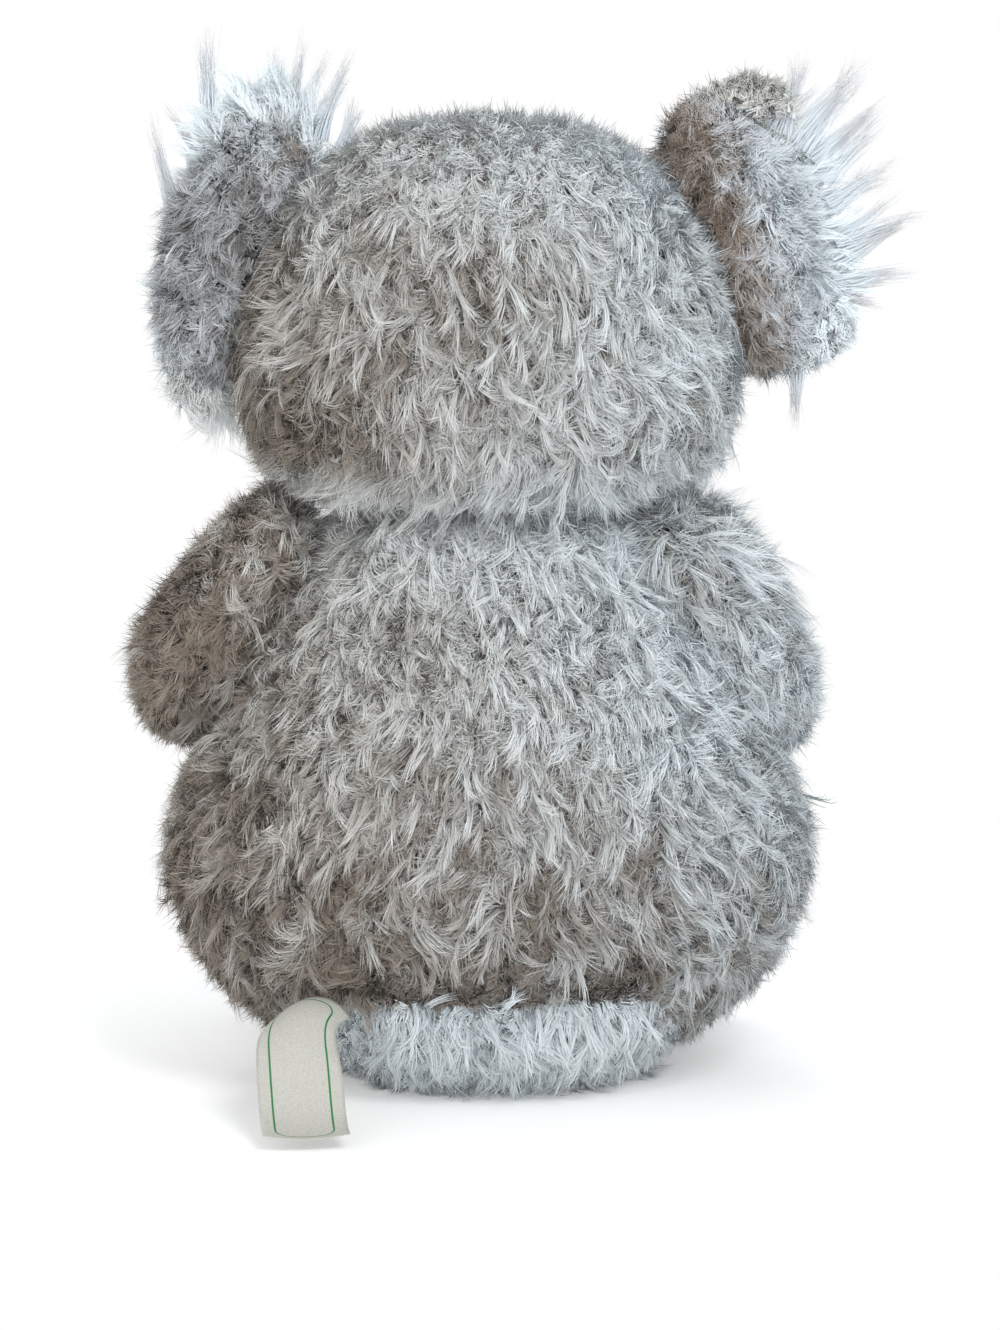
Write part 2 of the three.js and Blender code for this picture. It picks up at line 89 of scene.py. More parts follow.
# Outlines of the upright forms from the bottom up: height, half width, front and back
torso_shares = [
    [0, 0, 0, 0],
    [0, 0.44, 0.42, 0.42],
    [0.03, 0.57, 0.6, 0.61],
    [0.1, 0.75, 0.82, 0.8],
    [0.2, 0.92, 0.96, 0.94],
    [0.33, 1.02, 1.02, 1.01],
    [0.46, 0.985, 0.985, 0.99],
    [0.58, 0.87, 0.9, 0.91],
    [0.7, 0.755, 0.76, 0.78],
    [0.81, 0.63, 0.58, 0.58],
    [0.9, 0.49, 0.42, 0.42],
    [0.965, 0.29, 0.26, 0.26],
    [0.99, 0, 0, 0],
]
head_shares = [
    [0, 0, 0, 0],
    [0.01, 0.46, 0.42, 0.42],
    [0.055, 0.75, 0.72, 0.72],
    [0.14, 0.925, 0.93, 0.9],
    [0.26, 1, 1.04, 0.98],
    [0.4, 1.005, 1.05, 1.01],
    [0.54, 0.975, 1, 1],
    [0.67, 0.905, 0.93, 0.94],
    [0.79, 0.79, 0.8, 0.82],
    [0.89, 0.62, 0.62, 0.64],
    [0.965, 0.38, 0.38, 0.4],
    [1, 0, 0, 0],
]
# Along an arm from the shoulder: how far down and forward, how far off the flank, and its radius
arm_shares = [
    [-0.42, 0.02, 0.5, 0],
    [-0.38, 0.02, 0.6, 0.5],
    [-0.14, 0.01, 0.8, 0.88],
    [0.34, -0.02, 1, 1.02],
    [0.85, 0.08, 1.05, 1.08],
    [1.1, 0.42, 0.8, 1],
    [1.08, 0.76, 0.1, 0.88],
    [1, 0.98, -0.5, 0.68],
    [0.98, 1.09, -0.75, 0],
]
# Along a leg from inside the body: how far forward, half width, half height and the height of its middle
leg_shares = [
    [-0.04, 0, 0, 1.15],
    [0, 0.5, 0.5, 1.12],
    [0.14, 0.88, 0.92, 1.07],
    [0.36, 1, 1.02, 1.03],
    [0.58, 0.98, 0.98, 0.98],
    [0.78, 0.93, 0.99, 0.99],
    [0.97, 0.97, 1.12, 1.12],
    [1.08, 0.82, 0.98, 1.12],
    [1.13, 0, 0, 1.12],
]

# Fur

skin_depth = 0.0045  # how far a panel's backing lies under the pile's outline
pad_depth = Named(rim=0.0045, flat=0.002)  # the same on an ear, at its rim and through its thickness
muzzle_depth, ear_depth, stuffing_depth = 0.0025, 0.003, 0.0078  # the muzzle's, the ears' fur's and the wadding's
floor_clear = 0.0003  # how far above the floor the fur ends
most_faces = 190000  # in one piece of fur
near_node = 0.006  # the farthest that a solid's surface lies from the form it was cut from
bare_depth, bare_clear = 0.002, 0.001  # how a face that a neighbour cuts is told from the rest
cover = Named(start=0.005, full=0.012, short=0.6)  # how deep under a neighbour the pile shortens, by what share
most_turn = 45 * degree  # that the pile strays from its way
swell = Named(size=0.013, turn=0.4, tone=0.1)  # how the pile's way and tone swell and fade, over that distance
# The tips of tufts come together in clumps, which part in gaps where the fur is shorter and painted darker, as
# shade
clump = Named(
    # dark is the painted shade in the gaps at a clump's edge
    apart=0.0076, pull=0.7, reach=0.8, turn=26 * degree, bend=80, tone=0.085, shy=0.25, dark=0.17, within=0.002,
    edge=0.0047,
)
# A strand is lit like the skin under it, bends to the other side from bend_from on, and narrows to its tip
strand = Named(
    light=1.8, bend_from=0.4, least_loose=0.4, rise_curve=0.7, narrow_curve=0.8, reach=(0.72, 1.05), twist=26,
    width=(0.7, 1.3), taper=0.75, taper_curve=1.5, tones=(0.04, 0.96),
)
# How the tufts differ in length and tone, each alone and over patches of that size
mottled = Named(lengths=(0.85, 1.15), fine=0.6, soft=0.8, size=0.05)
# Where and how far the ways that the fur is combed change: how squarely a surface faces down or sideways, how far
# from the nose, how high up the left ear, how far up an ear and out on it, and how much each part pulls
comb_by = Named(
    flat=(0.93, 0.99), temples=(0.5, 0.95), temple_fall=1.2, nose=(0.03, 0.06), arm_fall=0.35, leg_fall=0.15,
    left_low=(0.222, 0.25), left_in=0.5, ear_root=0.02, ear_out=0.3, ear_top=(0.02, 0.036), top_rise=1.3,
    rim=(0.008, 0.03), least_out=0.12, rim_out=0.8,
)
spare = 1.9  # times as many points are drawn as stay once they are thinned
least_gap = 0.82  # of the distance asked for, that two points keep at least


def coat(**changes):
    """How a layer of fur grows. Lengths in metres, angles in degrees, and clump is a tuft's width at its tip."""
    values = dict(
        kind="fur", slot="grey_fur", paint=None, apart=0.0027, strands=12, steps=4, length=0.0165, width=0.00029,
        spread=0.0011, clump=0.35, rise=(60, -8), uneven=9, sway=13, curl=34, frizz=0.0011, pale=(0.15, 0.95),
        bare=0.45, tone=0.6, fine_tone=0.07, mottle=0.1, side_tone=0.0, low_tone=0.0, ridge=0.24, contrast=1.0,
    )
    return Named(**{**values, **changes})


def fuzz(**changes):
    """The short curly fibres under the longer fur."""
    values = dict(
        kind="fuzz", apart=0.0026, strands=36, steps=2, length=0.0078, width=0.0004, spread=0.0024, clump=1.3,
        rise=(68, 22), uneven=25, sway=70, curl=70, frizz=0.0022, pale=(0.35, 0.8), bare=0.7,
        tone=0.55, fine_tone=0.12, mottle=0.08,
    )
    return coat(**{**values, **changes})


# Small mathematics

def unit(vectors):
    return vectors / np.maximum(np.linalg.norm(vectors, axis=-1, keepdims=True), 1e-9)


def dot(a, b):
    return np.sum(a * b, axis=-1, keepdims=True)


def smooth(value, low, high):
    t = np.clip((value - low) / (high - low), 0, 1)
    return t * t * (3 - 2 * t)


def between(rows, share):
    """Smooth rows of values at shares of the way down a table."""
    table = np.array(rows, float)
    along = np.clip(share, 0, 1) * (len(table) - 1)
    first = np.minimum(along.astype(int), len(table) - 2)
    t = (along - first)[..., None]
    a, b, c, d = (table[np.clip(first + k, 0, len(table) - 1)] for k in (-1, 0, 1, 2))
    bend = 2 * a - 5 * b + 4 * c - d
    twist = 3 * b - a - 3 * c + d
    return (2 * b + (c - a) * t + bend * t**2 + twist * t**3) / 2


def swirl(points, size, seed):
    """A soft uneven value from -1 to 1 that changes over about that size."""
    rng = np.random.default_rng(seed)
    total = np.zeros(points.shape[:-1])
    for _ in range(5):
        way = rng.normal(size=3)
        wave = 2 * math.pi / (size * rng.uniform(0.7, 1.4))
        total += np.sin(points @ (way / np.linalg.norm(way)) * wave + rng.uniform(0, 2 * math.pi))
    return total / 3


def grid_faces(rows, row, pairs):
    """Faces between rows of that many points each, where pairs are the neighbours within a row."""
    return [[i + k, i + n, i + row + n, i + row + k] for i in range(0, (rows - 1) * row, row) for k, n in pairs]


def round_pairs(around):
    return [(k, (k + 1) % around) for k in range(around)]


# Forms

class Form:
    """A closed round surface. place(angle, share) runs from one pole, at share 0, to the other."""

    near_pole_share = 0.004
    step_share = 0.002

    def __init__(self, place, segments=96, rings=72):
        self.place, self.segments, self.rings, self.sign = place, segments, rings, 1
        points, faces = self.shell(0)
        corners = points[np.array([face[:3] for face in faces])]
        if np.sum(corners[:, 0] * np.cross(corners[:, 1], corners[:, 2])) < 0:
            self.sign = -1
            points, faces = self.shell(0)
        self.tree = BVHTree.FromPolygons(points.tolist(), faces)

    def normal(self, angle, share):
        share = np.clip(share, self.near_pole_share, 1 - self.near_pole_share)
        step = self.step_share
        turn = self.place(angle + step, share) - self.place(angle - step, share)
        rise = self.place(angle, share + step) - self.place(angle, share - step)
        return unit(np.cross(turn, rise)) * self.sign

    def shell(self, depth):
        """Points and faces of the form moved inwards."""
        rows, around = self.rings - 1, self.segments
        share, angle = np.meshgrid(
            np.arange(1, self.rings) / self.rings, np.arange(around) * 2 * math.pi / around, indexing="ij"
        )
        rings = self.place(angle, share) - self.normal(angle, share) * depth
        poles = []
        for end in (0.0, 1.0):
            out = unit(self.normal(angle[0], np.full(around, end)).sum(0, keepdims=True))
            poles.append(self.place(np.zeros(1), np.array([end])) - out * depth)
        faces = grid_faces(rows, around, round_pairs(around))
        low, high, last = rows * around, rows * around + 1, (rows - 1) * around
        for k, n in round_pairs(around):
            faces += [[low, n, k], [high, last + k, last + n]]
        return np.concatenate([rings.reshape(-1, 3), *poles]), [face[:: self.sign] for face in faces]

    def depth_of(self, points):
        """How deep inside the form each point is, and less than 0 outside."""
        depths = np.empty(len(points))
        for i, point in enumerate(points):
            spot, out, _, _ = self.tree.find_nearest(Vector(point))
            depths[i] = (spot - Vector(point)).dot(out)
        return depths


def upright(shares, size, bottom):
    def place(angle, share):
        rise, side, front, back = np.moveaxis(between(shares, share), -1, 0)
        deep = np.where(np.sin(angle) > 0, back * size.back, front * size.front)
        across = np.cos(angle) * side * size.half_width
        return np.stack([across, np.sin(angle) * deep, bottom + rise * size.height], -1)

    return Form(place)


def limb(at, over):
    """A form swept along a limb. at(share) gives its middle and radii, and over is the way of thick."""
    step = 0.05

    def place(angle, share):
        centre, wide, thick = at(share)
        along = unit(at(np.clip(share + step, 0, 1))[0] - at(np.clip(share - step, 0, 1))[0])
        across = unit(np.cross(np.broadcast_to(over, along.shape), along))
        up = np.cross(along, across)
        point = centre + across * (np.cos(angle) * np.maximum(wide, 0))[..., None]
        return point + up * (np.sin(angle) * np.maximum(thick, 0))[..., None]

    return Form(place)


def arm_frame(side):
    sine, cosine = math.sin(shoulder.tilt), math.cos(shoulder.tilt)
    point = np.array([side * shoulder.across, shoulder.back, shoulder.up])
    return point, np.array([side * sine, 0, -cosine]), np.array([side * cosine, 0, sine])


def arm_middle(side, share):
    point, down, off_flank = arm_frame(side)
    fall, run, off, thickness = np.moveaxis(between(arm_shares, share), -1, 0)
    centre = point + down * (fall * arm.drop)[..., None] + off_flank * (off * arm.reach[side])[..., None]
    return centre + np.array([0, -1, 0]) * (run * arm.length)[..., None], thickness


def arm_form(side):
    def at(share):
        centre, thickness = arm_middle(side, share)
        return centre, thickness * arm.wide, thickness * arm.thick

    return limb(at, arm_frame(side)[2])


def leg_ahead(side):
    return np.array([side * math.sin(hip.splay), -math.cos(hip.splay), 0])


def leg_form(side):
    def at(share):
        run, wide, high, middle = np.moveaxis(between(leg_shares, share), -1, 0)
        start = np.array([side * hip.across, hip.back, 0])
        centre = start + leg_ahead(side) * (leg.start + run * leg.length)[..., None]
        centre[..., 2] = middle * leg.radius - flat_cut
        return centre, wide * leg.radius, high * leg.radius

    return limb(at, np.array([0, 0, 1.0]))


def ear_frame(side):
    point = np.array([side * ear.across, 0, head_up + ear.rise])
    along = np.array([-side * math.sin(ear.lean), 0, math.cos(ear.lean)])
    out = np.array([side * math.cos(ear.lean), 0, math.sin(ear.lean)])
    return point, along, out


def ear_form(side, half, reach, shift, thickness):
    point, along, out = ear_frame(side)
    middle, radius = (reach - ear.inset) / 2, (reach + ear.inset) / 2

    def place(angle, share):
        turn = np.clip(share, 0, 1) * math.pi
        spot = point + along * (shift - np.cos(turn) * half)[..., None]
        spot = spot + out * (middle + np.sin(turn) * np.cos(angle) * radius)[..., None]
        spot[..., 1] += side * np.sin(turn) * np.sin(angle) * thickness
        return spot

    return Form(place)


def muzzle_place(angle, share):
    turn = np.clip(share, 0, 1) * math.pi
    across = -np.cos(turn) * muzzle.half_width
    forward = -muzzle.front - np.sin(turn) * np.sin(angle) * muzzle.depth
    high = head_up + muzzle.rise + np.sin(turn) * np.cos(angle) * muzzle.half_height
    return np.stack([across, forward, high], -1)


forms = {"torso": upright(torso_shares, torso, -flat_cut), "head": upright(head_shares, head, head_up)}
forms["muzzle"] = Form(muzzle_place)
pads = {}  # the ears' padding inside their fur, where the right ear's ends well inside its long fringe
fringe_root = {1: 0.02, -1: 0.031}  # the farthest from the fold line that the front's fur grows
for side, name in side_names.items():
    forms[f"arm_{name}"] = arm_form(side)
    forms[f"leg_{name}"] = leg_form(side)
    own, rim = ears[side], pad_depth.rim
    for part, half, reach, pad_half, pad_reach, thickness in (
        ("back", own.back_half, own.back_reach, own.back_half - rim, own.back_reach - rim, ear.back_thickness),
        (
            "front", own.front_half, own.front_reach, own.front_half - 2 * rim, fringe_root[side],
            ear.front_thickness,
        ),
    ):
        forms[f"ear_{part}_{name}"] = ear_form(side, half, reach, own.shift, thickness)
        pads[f"ear_{part}_{name}"] = ear_form(side, pad_half, pad_reach, own.shift, thickness - pad_depth.flat)

body_of_node = {node: body for body, held in frame["record"]["behaviour"]["bodies"].items() for node in held}

# Materials

uv_name = "OFBake"  # across a strand by its tone, and up it from root to tip
black, white = (0, 0, 0, 1), (1, 1, 1, 1)


def linear(red, green, blue):
    """A colour written as screen values from 0 to 255."""
    values = [value / 255 for value in (red, green, blue)]
    bent = [v / 12.92 if v <= 0.04045 else ((v + 0.055) / 1.055) ** 2.4 for v in values]
    return (*bent, 1)


class Tree:
    """Short ways to add shader nodes. An input takes a value or another node's output."""

    def __init__(self, tree):
        self.tree = tree

    def feed(self, node, inputs):
        for key, value in inputs.items():
            if isinstance(value, bpy.types.NodeSocket):
                self.tree.links.new(value, node.inputs[key])
            else:
                node.inputs[key].default_value = value
        return node

    def node(self, kind, inputs=None, **settings):
        node = self.tree.nodes.new(f"ShaderNode{kind}")
        for key, value in settings.items():
            setattr(node, key, value)
        return self.feed(node, inputs or {}).outputs

    def maths(self, operation, *values):
        return self.node("Math", dict(enumerate(values)), operation=operation)[0]

    def mix(self, share, low, high):
        return self.node("MixShader", {0: share, 1: low, 2: high})[0]

    def place(self):
        return self.node("TexCoord")["Object"]

    def seen(self):
        """1 for rays from the camera, gloss and glass, which see the plain white backdrop."""
        rays = self.node("LightPath")
        camera_or_gloss = self.maths("MAXIMUM", rays["Is Camera Ray"], rays["Is Glossy Ray"])
        return self.maths("MAXIMUM", camera_or_gloss, rays["Is Transmission Ray"])


class Paint(Tree):
    """A material with its principled shader."""

    def __init__(self, name, roughness, sheen=0.0, specular=0.5):
        self.material = bpy.data.materials.new(name)
        self.material.use_nodes = True
        super().__init__(self.material.node_tree)
        self.shader = self.tree.nodes["Principled BSDF"]
        self.feed(self.shader, {"Roughness": roughness, "Sheen Weight": sheen, "Specular IOR Level": specular})

    def ramp(self, value, positions, colors):
        node = self.tree.nodes.new("ShaderNodeValToRGB")
        elements = node.color_ramp.elements
        elements.remove(elements[-1])
        elements[0].position, elements[0].color = positions[0], colors[0]
        for position, color in zip(positions[1:], colors[1:]):
            elements.new(position).color = color
        return self.feed(node, {"Fac": value}).outputs["Color"]

    def even_ramp(self, value, colors):
        """Screen colours at even distances."""
        last = len(colors) - 1
        return self.ramp(value, [i / last for i in range(len(colors))], [linear(*color) for color in colors])

    def blend(self, share, low, high, mode="MIX"):
        return self.node("Mix", {0: share, 6: low, 7: high}, data_type="RGBA", blend_type=mode)[2]

    def noise(self, scale, detail=3.0, stretch=(1, 1, 1)):
        spot = self.node("Mapping", {"Vector": self.place(), "Scale": stretch})["Vector"]
        return self.node("TexNoise", {"Vector": spot, "Scale": scale, "Detail": detail})["Fac"]

    def uv(self):
        """Its two values."""
        split = self.node("SeparateXYZ", {"Vector": self.node("UVMap", uv_map=uv_name)["UV"]})
        return split["X"], split["Y"]

    def bump(self, height, strength, distance):
        bumped = self.node("Bump", {"Height": height, "Strength": strength, "Distance": distance})
        self.feed(self.shader, {"Normal": bumped["Normal"]})

    def color(self, value):
        self.feed(self.shader, {"Base Color": value})
        return self.material


def pile(name, roots, tips, pale, roughness=0.62, sheen=0.15, sides=None):
    """Fur: each strand goes from its root's colour to its tip's, and both follow its tone. sides are tints of
    painted light and shade that the toy's right and left side take: cool on its lit right side and warm on its
    shaded left."""
    paint = Paint(name, roughness, sheen, 0.25)
    tone, up = paint.uv()
    # Painted shade deep in the pile, where a strand's root colour is darker than its tip's
    paler = paint.ramp(up, pale, (black, white))
    color = paint.blend(paler, paint.even_ramp(tone, roots), paint.even_ramp(tone, tips))
    if sides is not None:
        x = paint.node("SeparateXYZ", {"Vector": paint.place()})["X"]
        across = paint.node("MapRange", {"Value": x, "From Min": -torso.half_width, "From Max": torso.half_width})
        color = paint.blend(1.0, color, paint.even_ramp(across["Result"], sides), "MULTIPLY")
    return paint.color(color)


def knit(name, dark, light):
    """The woven backing that the pile stands on."""
    paint = Paint(name, 0.9)
    loops, ends, shade = paint.noise(900, 2, (1, 1, 0.6)), (0.3, 0.7), (0.82, 0.82, 0.82, 1)
    mixed = paint.blend(paint.ramp(loops, ends, (black, white)), linear(*dark), linear(*light))
    paint.bump(loops, 0.6, 0.0004)
    return paint.color(paint.blend(1.0, mixed, paint.ramp(paint.noise(60), ends, (shade, white)), "MULTIPLY"))


def grained(
    name, dark, light, roughness, grain, relief, detail=4, stretch=(1, 1, 1), strength=0.35, ends=(0.3, 0.7)
):
    """A plain stuff with a fine unevenness, such as a mould leaves on plastic."""
    paint = Paint(name, roughness)
    fine = paint.noise(grain, detail, stretch)
    paint.bump(fine, strength, relief)
    return paint.color(paint.ramp(fine, ends, (linear(*dark), linear(*light))))


# The piles' colours from the darkest tone to the palest, and where up a strand the root's gives way to the tip's.
# A root darker than its tip is painted shade deep in the pile
piles = {
    "grey_fur": dict(
        roots=[(70, 58, 50), (130, 125, 121), (157, 155, 151), (174, 174, 174), (204, 207, 210)],
        tips=[(152, 138, 124), (207, 203, 199), (234, 234, 232), (241, 242, 242), (248, 250, 251)],
        # Painted light and shade across the toy, right to left: a cool tint on its lit right side, a warm one on
        # its shaded left
        pale=(0.04, 0.76), sides=[(243, 250, 255), (253, 251, 247)],
    ),
    "ear_fur": dict(
        roots=[(72, 57, 47), (122, 110, 102), (160, 161, 164), (212, 220, 227)],
        tips=[(150, 132, 117), (206, 198, 190), (226, 228, 231), (238, 246, 251)],
        pale=(0.1, 0.9),
    ),
    "cool_ear_fur": dict(
        roots=[(66, 62, 61), (116, 115, 115), (158, 161, 165), (212, 219, 225)],
        tips=[(140, 137, 136), (199, 200, 202), (225, 228, 232), (238, 245, 250)],
        pale=(0.1, 0.9),
    ),
    "white_fur": dict(
        roots=[(138, 132, 125), (222, 226, 227), (232, 242, 248), (240, 249, 254)],
        tips=[(196, 191, 184), (240, 242, 241), (242, 250, 254), (246, 253, 255)],
        pale=(0.05, 0.7), roughness=0.55, sheen=0.5,
    ),
    "lock_fur": dict(
        roots=[(226, 234, 240), (228, 236, 242), (230, 239, 245)],
        tips=[(196, 192, 190), (206, 204, 204), (216, 216, 219)],
        pale=(0.25, 1.0), roughness=0.55, sheen=0.2,
    ),
}
materials = {name: pile(name, **values) for name, values in piles.items()}
grey_backing = knit("grey_backing", (118, 111, 105), (148, 142, 137))
white_backing = knit("white_backing", (206, 210, 212), (228, 232, 234))
wadding_fill = grained(
    "wadding", (214, 211, 202), (250, 248, 242), 1, 260, 0.001, detail=6, stretch=(1, 1, 0.25), strength=0.8,
    ends=(0.25, 0.75),
)
eye_gloss = grained("eye_gloss", (10, 8, 7), (20, 16, 13), 0.08, 40, 0.00002)
nose_grain = grained("nose_grain", (20, 18, 17), (38, 34, 32), 0.38, 1400, 0.0001)
washer_plastic = grained("washer_plastic", (206, 206, 200), (226, 226, 221), 0.5, 300, 0.0001)


# Pieces

def piece_of(name, points, faces, material):
    mesh = bpy.data.meshes.new(name)
    mesh.from_pydata(np.asarray(points).tolist(), [], faces)
    mesh.materials.append(material)
    piece = bpy.data.objects.new(name, mesh)
    bpy.context.scene.collection.objects.link(piece)
    return piece


def softened(piece, angle=40 * degree):
    piece.data.shade_smooth()
    piece.data.set_sharp_from_angle(angle=angle)
    return piece


def shared(name, form, depth, node, material):
    """What the form, moved inwards, has in common with a CAD solid: its smooth face with that solid's own cuts."""
    piece = piece_of(name, *form.shell(depth), material)
    mould = bpy.data.objects.new("mould", frame["nodes"][node].data.copy())
    bpy.context.scene.collection.objects.link(mould)
    welder = bmesh.new()
    welder.from_mesh(mould.data)
    bmesh.ops.remove_doubles(welder, verts=welder.verts, dist=1e-6)
    welder.to_mesh(mould.data)
    welder.free()
    cut = piece.modifiers.new("cut", "BOOLEAN")
    cut.operation, cut.solver, cut.object = "INTERSECT", "MANIFOLD", mould
    made = bpy.data.meshes.new_from_object(piece.evaluated_get(bpy.context.evaluated_depsgraph_get()))
    piece.modifiers.remove(cut)
    piece.data = made
    made.materials.clear()
    made.materials.append(material)
    bpy.data.objects.remove(mould)
    return softened(piece)


def settle(piece, slot, *nodes):
    """The piece rides with the nodes' body and stands for them. Its slot is not used."""
    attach(piece, body_of_node[nodes[0]])
    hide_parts(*nodes)
    return piece


def near_tree(points):
    """What finds the points near a spot, by their numbers."""
    tree = KDTree(len(points))
    for number, point in enumerate(points):
        tree.insert(point, number)
    tree.balance()
    return tree


def thinned(points, apart):
    """Which points stay when none may have an earlier one too near."""
    near = near_tree(points)
    kept = np.ones(len(points), bool)
    for i, point in enumerate(points):
        if kept[i]:
            for _, k, _ in near.find_range(point, apart * least_gap):
                if k > i:
                    kept[k] = False
    return kept


def drawn(rng, area, apart):
    """Which cells, by their areas, get a point each before they are thinned."""
    return rng.choice(len(area), int(area.sum() / apart**2 * spare), p=area / area.sum())


def scatter(form, apart, seed, rows=140, around=160, pole=0.003):
    """Points and normals all over a form, about that far apart."""
    rng = np.random.default_rng(seed)
    half_row, half_turn = 0.5 / rows, math.pi / around
    middles = (np.arange(rows) + 0.5) / rows, (np.arange(around) + 0.5) * 2 * math.pi / around
    share, angle = np.meshgrid(*middles, indexing="ij")
    rise = form.place(angle, share + half_row) - form.place(angle, share - half_row)
    turn = form.place(angle + half_turn, share) - form.place(angle - half_turn, share)
    cells = drawn(rng, np.linalg.norm(np.cross(rise, turn), axis=-1).ravel(), apart)
    angles = angle.ravel()[cells] + rng.uniform(-half_turn, half_turn, len(cells))
    shares = np.clip(share.ravel()[cells] + rng.uniform(-half_row, half_row, len(cells)), pole, 1 - pole)
    kept = thinned(form.place(angles, shares), apart)
    return form.place(angles[kept], shares[kept]), form.normal(angles[kept], shares[kept])


solid_trees = {}


def how_far(node, points):
    """The distance from each point to a CAD solid's surface."""
    if node not in solid_trees:
        mesh = frame["nodes"][node].data
        faces = [polygon.vertices for polygon in mesh.polygons]
        solid_trees[node] = BVHTree.FromPolygons([vertex.co for vertex in mesh.vertices], faces)
    return np.array([solid_trees[node].find_nearest(Vector(point))[3] for point in points])


def nearest_node(points, nodes, reach):
    """For each point, which of the CAD solids it lies on, or -1."""
    best = np.full(len(points), reach)
    owner = np.full(len(points), -1)
    for number, node in enumerate(nodes):
        far = how_far(node, points)
        nearer = far < best
        best[nearer], owner[nearer] = far[nearer], number
    return owner


def bared(node, form, beside, inner, apart, seed):
    """Points and normals on the faces of a CAD solid that its neighbours cut, where the body's other solids are
    far or, with an inner form, outside that."""
    mesh = frame["nodes"][node].data
    mesh.calc_loop_triangles()
    spots = np.array([v.co for v in mesh.vertices])
    corners = spots[np.array([t.vertices for t in mesh.loop_triangles])]
    normals = np.array([t.normal for t in mesh.loop_triangles])
    rng = np.random.default_rng(seed)
    cells = drawn(rng, np.array([t.area for t in mesh.loop_triangles]), apart)
    a, b = rng.uniform(0, 1, (2, len(cells), 1))
    over = a + b > 1
    a, b = np.where(over, 1 - a, a), np.where(over, 1 - b, b)
    first, second, third = np.moveaxis(corners[cells], 1, 0)
    points = first + (second - first) * a + (third - first) * b
    bare = form.depth_of(points) > bare_depth
    if inner is not None:
        bare &= inner.depth_of(points) < 0
    for other in beside:
        bare &= how_far(other, points) > bare_clear
    points, normals = points[bare], normals[cells][bare]
    if not len(points):
        return points, normals
    kept = thinned(points, apart)
    kept = thinned(points, apart)
    return points[kept], normals[kept]


def turned(vectors, normals, turn):
    """Unit vectors along the surface, turned about its normals."""
    flat = unit(vectors - normals * dot(vectors, normals))
    return flat * np.cos(turn)[:, None] + np.cross(normals, flat) * np.sin(turn)[:, None]


def combed(vectors, normals, points, stray, size, seed):
    """The same, turned from place to place by up to about 45 degrees times stray."""
    turn = swirl(points, size, seed) + swell.turn * swirl(points, swell.size, seed + 1)
    return turned(vectors, normals, turn * stray * most_turn)


class Clumps:
    """The places all over a form where the tips of neighbouring tufts come together."""

    def __init__(self, form, comb, wild, size, seed):
        rng = np.random.default_rng(seed + 40)
        self.points, normals = scatter(form, clump.apart, seed + 41)
        stray = wild(self.points)
        ways = combed(comb(self.points, normals), normals, self.points, stray, size, seed + 1)
        self.ways = turned(ways, normals, rng.normal(0, clump.turn, len(ways)) * stray)
        self.tones = rng.normal(0, clump.tone, len(ways))
        self.bends = rng.normal(0, clump.bend, len(ways))
        self.near = near_tree(self.points)

    def gather(self, spots, normals, ways, lengths):
        """Each tuft's new way, its clump's tone and bend, and how far out in its clump it stands, from 0 to 1."""
        found = [self.near.find(spot) for spot in spots]
        owner = np.array([number for _, number, _ in found])
        edge = smooth(np.array([far for _, _, far in found]), clump.within, clump.edge)
        reach = (lengths * clump.reach)[:, None]
        aim = self.points[owner] + self.ways[owner] * reach
        leaning = ways * reach * (1 - clump.pull) + (aim - spots) * clump.pull
        return unit(leaning - normals * dot(leaning, normals)), self.tones[owner], self.bends[owner], edge


